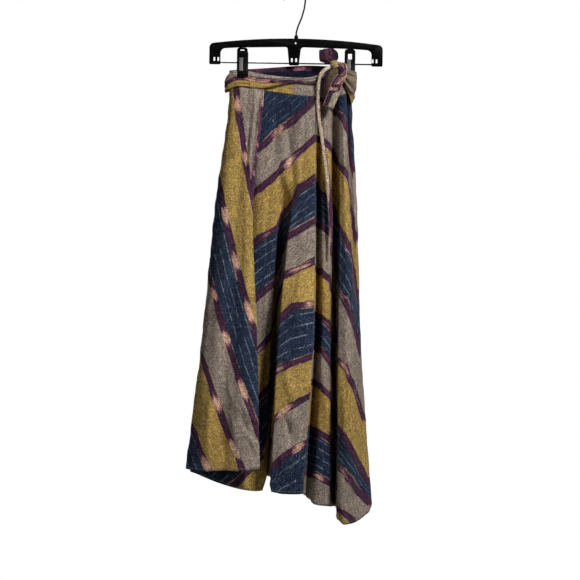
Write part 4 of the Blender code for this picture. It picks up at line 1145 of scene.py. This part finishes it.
# A tie's end or loop: its left and its right edge, each as x, y and drop. Its line, patches and stitches are
# placed by parts of its length and width. The border is its pale rim, and crumple the height of its waves.
tiePieces = {
    "bow_loop_upper": {
        "held": "folded",
        "edges": [
            (72, -10.2, 157, 88, -10.2, 147), (59, -16.0, 153, 89.5, -16.0, 140.5),
            (50.5, -18.0, 147, 87, -20.0, 131), (50, -14.0, 131, 80, -16.0, 124.5),
            (52, -8.5, 128, 79, -10.0, 126), (53, -5.8, 138, 84, -6.5, 134), (61, -5.6, 150, 86, -6.0, 141),
            (72, -7.4, 156, 88, -7.4, 146),
        ],
        "crown": 0.8, "dyes": ["wine", "plum"], "lineWidth": 0.016, "linePart": [(0, 0.5), (1, 0.5)],
        "patches": [(0.0, 1.0, 0.22)], "patchDyes": ("pink", "mauve"), "crumple": 2.0, "border": 0,
        "stitches": [(0.40, 0.06, 0.30), (0.56, 0.06, 0.30)],
    },
    # the lower loop's khaki is darkened with painted shade, and the dark brown strip on its left is painted
    # shade of its folds
    "bow_loop_lower": {
        "held": "folded",
        "edges": [
            (75, -19.0, 165.8, 89, -19.0, 165.4), (62, -25.5, 180, 88, -26.0, 179),
            (58, -28.0, 198, 85, -28.5, 198), (57, -28.0, 216, 82, -28.5, 216),
            (57.5, -25.5, 227, 80, -26.0, 229), (58.5, -23.0, 218, 80, -23.5, 219),
            (60, -22.4, 203, 82, -22.8, 203), (63, -21.6, 189, 84, -21.8, 190),
        ],
        "crown": 0.8, "dyes": ["paintedFoldShade", "khakiInPaintedShade"], "lineWidth": 0.002,
        "linePart": [(0, 0.22), (0.5, 0.30), (1, 0.24)], "patches": [(0.05, 0.6, 0.36)],
        "patchDyes": ("navy", "plum"), "crumple": 2.6, "border": 0, "stitches": [],
    },
    "tie_tail_short": {
        "held": "folded",
        "edges": [
            (88.0, -21.0, 163, 90.8, -21.8, 151.5), (94, -24.5, 172, 105, -27.0, 156),
            (92, -31.0, 178, 107, -32.0, 172), (87, -34.0, 178, 104.5, -36.0, 186),
            (82, -34.5, 184, 98, -36.5, 196), (74, -33.5, 196, 94, -35.5, 210),
            (66, -32.5, 218, 87, -34.0, 229), (57, -31.5, 240, 78, -32.5, 249),
        ],
        "crown": 0.6, "dyes": ["purple", "stone"], "lineWidth": 0.026,
        "linePart": [(0, 0.8), (0.5, 0.7), (0.68, 0.02), (1, -0.02)],
        "patches": [(0.0, 0.34, 0.42), (0.34, 0.52, 0.56), (0.58, 0.66, 0.78), (0.74, 0.86, 0.3)],
        "patchDyes": ("peach", "pink"), "crumple": 1.3,
        "border": 1.3, "stitches": [(0.08, 0.35, 1.0), (0.92, 0.35, 1.0)],
    },
    "tie_tail_long": {
        "held": "hung",
        "edges": [
            (71.6, -19.0, 159, 74.6, -19.2, 164.4), (56, -23.5, 168, 61, -24.0, 174.5),
            (48, -24.5, 183, 54.5, -25.0, 186), (45.5, -24.5, 204, 52.5, -25.0, 204),
            (44.5, -24.0, 232, 51.5, -24.5, 232), (46, -24.0, 260, 53, -24.5, 260),
            (50, -24.0, 292, 57.5, -24.5, 291), (56, -24.0, 332, 64, -24.5, 331),
            (62, -25.0, 378, 70.5, -25.5, 377), (67, -26.0, 434, 76, -26.5, 433),
            (70.5, -27.0, 490, 78, -27.5, 489), (72.5, -28.0, 546, 76.5, -28.3, 546),
        ],
        "crown": 0.8, "dyes": ["bone", "purple"], "lineWidth": 0.0015,
        "linePart": [(0, 0.88), (0.60, 0.84), (0.69, 0.66), (0.75, 0.22), (1, 0.16)],
        "patches": [(0.32, 0.48, 0.9), (0.62, 0.74, 0.5)], "patchDyes": ("peach", "bone"), "crumple": 0.6,
        "border": 0, "stitches": [(0.14, 0.3, 1.0)],
    },
}
tieLook = {
    "wall": 1.5,
    "shortWave": (8, 0.42),
    "longWave": (22, 0.45),
    "endRoom": 5,            # the waves die away this near the ends
    "stripes": 0.6,          # how many the width spans
    "wander": (60, 0.04),
    "countEnd": 0.4,
    "patchBefore": 0.02,
    "patchSoft": 0.04,
    "rim": 1.4,              # how strong the border is, and over what it fades
    "rimSoft": 0.6,
}


def makeTie(name, facts, steps=14, across=16):
    look = tieLook
    path = chain(facts["edges"], steps)
    part = np.linspace(0, 1, across + 1)
    left, right = path[:, None, :3] * [1, 1, -1], path[:, None, 3:] * [1, 1, -1]
    grid = left + (right - left) * part[None, :, None]
    grid[:, :, 1] -= facts["crown"] * np.sin(math.pi * part)
    along, down = arcs(grid, 1), arcs(grid, 0)
    normals = gridNormals(grid)
    seed = len(name) * 3
    (shortSize, shortHigh), (longSize, longHigh) = look["shortWave"], look["longWave"]
    lift = softNoise(along, down * 0.13, shortSize, seed) * shortHigh
    lift = lift + softNoise(along, down, longSize, seed + 1) * longHigh
    edge = np.sin(math.pi * np.clip(0.1 + 0.8 * part, 0, 1))
    ends = smooth(np.minimum(down, down[-1:] - down) / look["endRoom"])
    grid = grid + normals * (lift * facts["crumple"] * edge * ends)[:, :, None]
    run = down / down[-1:]
    line = np.interp(run, *zip(*facts["linePart"]))
    size, wander = look["wander"]
    count = 1 + (part[None, :] - line) * look["stripes"] + softNoise(along, down, size, seed + 2) * wander
    fromEdge = np.minimum(np.minimum(along, along[:, -1:] - along), down[-1:] - down + 0.4)
    trim = look["rim"] * smooth((facts["border"] - fromEdge) / look["rimSoft"]) * smooth((run - 0.1) / 0.1)
    patch = patchesOn(run, facts["patches"], look["patchBefore"], look["patchSoft"])
    pattern = oneLine(grid, count, patch, trim, look["countEnd"])
    half = np.full(count.shape, look["wall"] / 2)
    half[:, [0, -1]] *= 0.5
    half[[0, -1]] *= 0.6
    finish = clothFinish(name + "Cotton", facts["dyes"], facts["lineWidth"], facts["patchDyes"], "peach")
    piece = addShell(name + "_cloth", grid, half, finish, (down, along), pattern)
    sewTie(facts, grid, down, half)
    clothBody(piece, name)


def sewTie(facts, grid, down, half):
    # rows of small stitches on the face that looks to the front
    out = gridNormals(grid)
    out = out * -np.sign(out[:, :, [1]])
    last, across = grid.shape[0] - 1, grid.shape[1] - 1
    for place, start, end in facts["stitches"]:
        column = int(round(place * across))
        length = down[np.arange(int(start * last), int(end * last)), column]
        for at in np.arange(length[0] + 1, length[-1], tieStitch["gap"]):
            row = int(np.argmin(np.abs(down[:, column] - at)))
            here = grid[row, column] + out[row, column] * (half[row, column] + 0.1)
            ahead = grid[min(row + 1, last), column] - grid[row - 1, column]
            tieStitches.append((here, ahead / np.linalg.norm(ahead), out[row, column]))


knot = {
    "centre": (82.5, -18.0, 157),
    "size": (21, 13, 17),
    "waist": 0.07,
    "wraps": 3,
    "wrapDepth": 0.13,
    "slant": 0.5,
    "lumps": (0.05, 0.03),
    "rings": 44,
    "sides": 72,
}


def makeKnot():
    # a soft lump, with the tie wound round it in slanting wraps
    rings, sides = knot["rings"], knot["sides"]
    polar = np.linspace(0.02, math.pi - 0.02, rings)[:, None]
    turn = np.linspace(0, 2 * math.pi, sides, endpoint=False)[None, :]
    swell = 1 - knot["waist"] * np.cos(4 * polar) * np.cos(turn) ** 2
    lean = polar + knot["slant"] * np.cos(turn + 0.6)
    large, small = knot["lumps"]
    wrap = -knot["wrapDepth"] * np.abs(np.cos(lean * knot["wraps"])) ** 6
    wrap = wrap + large * np.sin(turn * 5 + polar * 3) * np.sin(polar) + small * np.sin(turn * 9 - polar * 7)
    radius = 1 + wrap - 0.01
    x = np.sin(polar) * np.cos(turn) * swell * radius
    y = np.sin(polar) * np.sin(turn) * radius
    z = np.cos(polar) * radius + 0 * turn
    points = np.stack([x, y, z], -1) * np.array(knot["size"]) / 2
    points = points + np.array([1, 1, -1]) * np.array(knot["centre"])
    faces = []
    for low in range(0, (rings - 1) * sides, sides):
        for side in range(sides):
            after = (side + 1) % sides
            faces.append((low + side, low + sides + side, low + sides + after, low + after))
    faces.append(tuple(range(sides)))
    faces.append(tuple(rings * sides - 1 - side for side in range(sides)))
    mesh = bpy.data.meshes.new("bow_knot_cloth")
    mesh.from_pydata((points.reshape(-1, 3) * mm).tolist(), [], faces)
    pattern = {"band": 0.5 + 0 * x, "pitch": 0.05 + 0 * x, "ikat": 0 * x, "trim": 0 * x}
    addPattern(mesh, ((turn + 0 * polar) * 9, lean * 9), pattern)
    finish = clothFinish("knotCotton", ["knotGold", "knotGold"], 0.001)
    clothBody(addObject("bow_knot_cloth", mesh, finish), "bow_knot")


hanger = {
    "plastic": {
        "colour": (0.0016, 0.0016, 0.0018, 1), "worn": (0.11, 0.105, 0.10, 1),
        "roughness": 0.36, "metallic": 0.0, "shine": 0.09, "grain": 0.0005, "relief": 0.12,
    },
    "steel": {
        "colour": (0.06, 0.06, 0.058, 1), "worn": (0.03, 0.028, 0.026, 1),
        "roughness": 0.26, "metallic": 1.0, "shine": 0.5, "grain": 0.0009, "relief": 0.08,
    },
    "spring": {
        "colour": (0.19, 0.19, 0.18, 1), "worn": (0.03, 0.028, 0.026, 1),
        "roughness": 0.6, "metallic": 0.4, "shine": 0.5, "grain": 0.0009, "relief": 0.08,
    },
    "dust": 0.3,             # how much of the worn colour the dust and the rubbed streaks show
    "rubbed": 0.03,
    "rubbedRough": 0.22,
    "bodyEdge": 0.7,         # how far the moulded edges are rounded
    "clipEdge": 0.35,
    "clipCorner": 5.5,       # the round of a leaf's two top corners
}


def makeWearGroup():
    # a fine grain, dust in small clouds, and streaks where hands have rubbed
    tree, given, made = newGroup(
        "handledSurface",
        [("Position", "Vector", None), ("Grain Size", "Float", 0.0006)],
        [("Grain", "Float"), ("Dust", "Float"), ("Rubbed", "Float")],
    )
    place = given["Position"]
    specks = ranged(tree, noise(tree, place, None, 900.0), 0.62, 0.72)
    clouds = ranged(tree, noise(tree, place, None, 40.0, 4.0), 0.4, 0.7)
    setInputs(tree, made, {
        "Grain": noise(tree, place, None, maths(tree, "DIVIDE", 1.0, given["Grain Size"]), 3.0),
        "Dust": maths(tree, "MULTIPLY", specks, clouds),
        "Rubbed": ranged(tree, noise(tree, place, (60, 60, 700), 1.0, 3.0), 0.45, 0.75),
    })
    arrange(tree)
    return tree


wearGroup = makeWearGroup()


def hangerFinish(name, facts):
    material, tree, shader = newMaterial(name)
    place = node(tree, "TexCoord").outputs["Object"]
    wear = node(tree, "Group", {"Position": place, "Grain Size": facts["grain"]}, node_tree=wearGroup).outputs
    mask = maths(tree, "MULTIPLY", wear["Dust"], hanger["dust"])
    mask = maths(tree, "MAXIMUM", mask, maths(tree, "MULTIPLY", wear["Rubbed"], hanger["rubbed"]))
    rough = facts["roughness"]
    setInputs(tree, shader, {
        "Base Color": mixed(tree, mask, facts["colour"], facts["worn"]),
        "Roughness": ranged(tree, wear["Rubbed"], 0.0, 1.0, rough, rough + hanger["rubbedRough"]),
        "Normal": bumped(tree, wear["Grain"], facts["relief"], 0.0002),
        "Metallic": facts["metallic"], "Specular IOR Level": facts["shine"],
    })
    arrange(tree)
    return material


def threadFinish(name, dye):
    material, tree, shader = newMaterial(name)
    uneven = noise(tree, node(tree, "TexCoord").outputs["Object"], None, 700.0, 3.0)
    darker = tuple(part * 0.6 for part in linear(dye)[:3]) + (1,)
    setInputs(tree, shader, {
        "Base Color": mixed(tree, ranged(tree, uneven, 0.3, 0.7), linear(dye), darker),
        "Roughness": 0.8, "Normal": bumped(tree, uneven, 0.4, 0.0001),
    })
    arrange(tree)
    return material


def roundedCopy(name, width, corner, finish):
    # the moulded or bent piece with its edges rounded over
    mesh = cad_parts[name].data.copy()
    mesh.name = name + "_moulded"
    form = bmesh.new()
    form.from_mesh(mesh)
    bmesh.ops.remove_doubles(form, verts=form.verts, dist=0.01 * mm)
    bmesh.ops.dissolve_limit(form, angle_limit=math.radians(1), verts=form.verts, edges=form.edges)
    if corner:
        top = max(vert.co.z for vert in form.verts) - 1.5 * mm
        ends = [
            edge for edge in form.edges
            if min(vert.co.z for vert in edge.verts) > top
            and abs((edge.verts[0].co - edge.verts[1].co).x) < 0.5 * mm
        ]
        bmesh.ops.bevel(form, geom=ends, offset=corner * mm, segments=5, affect="EDGES", profile=0.5)
    sharp = [
        edge for edge in form.edges
        if len(edge.link_faces) == 2 and edge.calc_face_angle(0) > math.radians(35)
    ]
    bmesh.ops.bevel(
        form, geom=sharp, offset=width * mm, segments=2, affect="EDGES", clamp_overlap=True, profile=0.5
    )
    form.to_mesh(mesh)
    form.free()
    mesh.materials.clear()
    piece = addObject(name + "_moulded", mesh, finish)
    mesh.set_sharp_from_angle(angle=math.radians(40))
    clothBody(piece, name)


def makeHanger():
    plastic = hangerFinish("blackPlastic", hanger["plastic"])
    steel = hangerFinish("platedSteel", hanger["steel"])
    spring = hangerFinish("springSteel", hanger["spring"])
    for name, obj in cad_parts.items():
        if name.endswith("spring"):
            roundedCopy(name, hanger["clipEdge"], 0, spring)
        elif name in ("hanger_hook", "hanger_rod"):
            obj.data.materials.clear()
            obj.data.materials.append(steel)
        elif name.startswith("clip"):
            corner = hanger["clipCorner"] if name.endswith(("back", "front")) else 0
            roundedCopy(name, hanger["clipEdge"], corner, plastic)
        elif name.startswith("hanger"):
            roundedCopy(name, hanger["bodyEdge"], 0, plastic)


strayThread = {
    "thread": "looseThread",
    "dye": "chalk",
    "x": -42.5,
    "drop": 272,
    "curl": 3.0,
    "squeeze": 0.6,          # how much narrower the curl is than high
    "from": 100,             # degrees of the curl, and from one piece of it to the next
    "to": 290,
    "step": 22,
    "standOff": 0.9,
    "length": 1.5,
    "radius": 0.48,
}


def straySteps():
    # a loose end of white thread that curls on the front
    facts, steps = strayThread, []
    for degrees in range(facts["from"], facts["to"], facts["step"]):
        turn = math.radians(degrees)
        x = facts["x"] + facts["curl"] * facts["squeeze"] * math.cos(turn)
        drop = facts["drop"] - facts["curl"] * math.sin(turn)
        y = clothFace(x, drop, "front") - cloth["wall"] / 2 - facts["standOff"]
        along = np.array([-math.sin(turn) * facts["squeeze"], 0, math.cos(turn)])
        steps.append((np.array([x, y, -drop]), along, np.array([0, -1.0, 0])))
    return steps


studio = {
    "cameraDistance": 9.0,
    "lookX": -9.4,
    "lookDrop": 617.6,
    "frameWidth": 1187.5,    # what the camera takes in, at the hanger
    "sensor": 36,
    "floorDrop": 2100,
    "floorRadius": 3000,
    "floorSides": 64,
    "floorGlow": 0.5,        # keeps the floor pale wherever the camera stands
    "fill": 0.035,           # the surround's soft light, against the white that the camera sees
    "lamps": [
        # name, place, what it looks at, size, watts and spread, in metres and degrees
        ("keyLight", (1.42, -2.02, 1.4), (0, 0, -0.5), 0.6, 10.3, 60),
        ("frontLight", (-1.8, -3.6, 0.3), (0, 0, -0.4), 1.2, 7, 180),
        ("backLight", (-0.7, 2.6, 1.2), (0, 0, -0.6), 1.4, 90, 180),
    ],
}


def makeStudio():
    # a round pale floor well below, and an even white surround
    radius, floor = studio["floorRadius"] * mm, -studio["floorDrop"] * mm
    sides = studio["floorSides"]
    turns = [2 * math.pi * step / sides for step in range(sides)]
    rim = [(radius * math.cos(turn), radius * math.sin(turn), floor) for turn in turns]
    mesh = bpy.data.meshes.new("studio_floor")
    mesh.from_pydata(rim, [], [range(sides)])
    paper, tree, shader = newMaterial("floorPaper")
    seen = node(tree, "LightPath").outputs["Is Camera Ray"]
    glow = maths(tree, "MULTIPLY", seen, studio["floorGlow"])
    setInputs(tree, shader, {
        "Base Color": (0.9, 0.9, 0.9, 1), "Roughness": 0.9, "Specular IOR Level": 0.1,
        "Emission Color": (1, 1, 1, 1), "Emission Strength": glow,
    })
    arrange(tree)
    addObject("studio_floor", mesh, paper, rounded=False)
    world = bpy.data.worlds.new("studioWorld")
    world.use_nodes = True
    seen = node(world.node_tree, "LightPath").outputs["Is Camera Ray"]
    strength = maths(world.node_tree, "MULTIPLY_ADD", seen, 1 - studio["fill"], studio["fill"])
    background = world.node_tree.nodes["Background"]
    setInputs(world.node_tree, background, {"Color": (1, 1, 1, 1), "Strength": strength})
    arrange(world.node_tree)
    bpy.context.scene.world = world


def addLamp(name, place, aim, size, watts, spread):
    lamp = bpy.data.lights.new(name, "AREA")
    lamp.size = size
    lamp.energy = watts
    lamp.spread = math.radians(spread)
    obj = bpy.data.objects.new(name, lamp)
    obj.location = place
    obj.rotation_euler = (Vector(aim) - Vector(place)).to_track_quat("-Z", "Y").to_euler()
    bpy.context.collection.objects.link(obj)


def makeCamera():
    eye = bpy.data.cameras.new("camera")
    eye.sensor_width = studio["sensor"]
    eye.lens = studio["sensor"] * studio["cameraDistance"] / (studio["frameWidth"] * mm)
    eye.dof.use_dof = False
    camera = bpy.data.objects.new("camera", eye)
    camera.location = (studio["lookX"] * mm, -studio["cameraDistance"], -studio["lookDrop"] * mm)
    camera.rotation_euler = (math.pi / 2, 0, 0)
    bpy.context.collection.objects.link(camera)
    bpy.context.scene.camera = camera
    bpy.context.scene.view_settings.view_transform = "Standard"


for lamp in studio["lamps"]:
    addLamp(*lamp)
makeCamera()
makeStudio()
print("studio ready")
skirtCloth = rippled(wholeCloth(seamColumn, cloth["seamGap"], hemColumn, cloth["rows"]))
bandCloth = wholeCloth(topColumn, 0, seamColumn, cloth["bandRows"])
for gore in (frontGore, sideGore, backGoreRight, backGoreLeft, flapPanel):
    makeGore(gore, skirtCloth)
print("gores hung")
for band in waistbands:
    makeWaistband(band, bandCloth)
for name, facts in sashPieces.items():
    makeSash(name, facts)
print("waistband and sash round")
makeKnot()
for name, facts in tiePieces.items():
    makeTie(name, facts)
print("bow tied")
addStitches("hem_stitches", hemStitches, hemStitch)
addStitches("tie_edge_stitches", tieStitches, tieStitch)
addStitches("loose_thread", straySteps(), strayThread)
makeHanger()
print("hanger and sewing done")
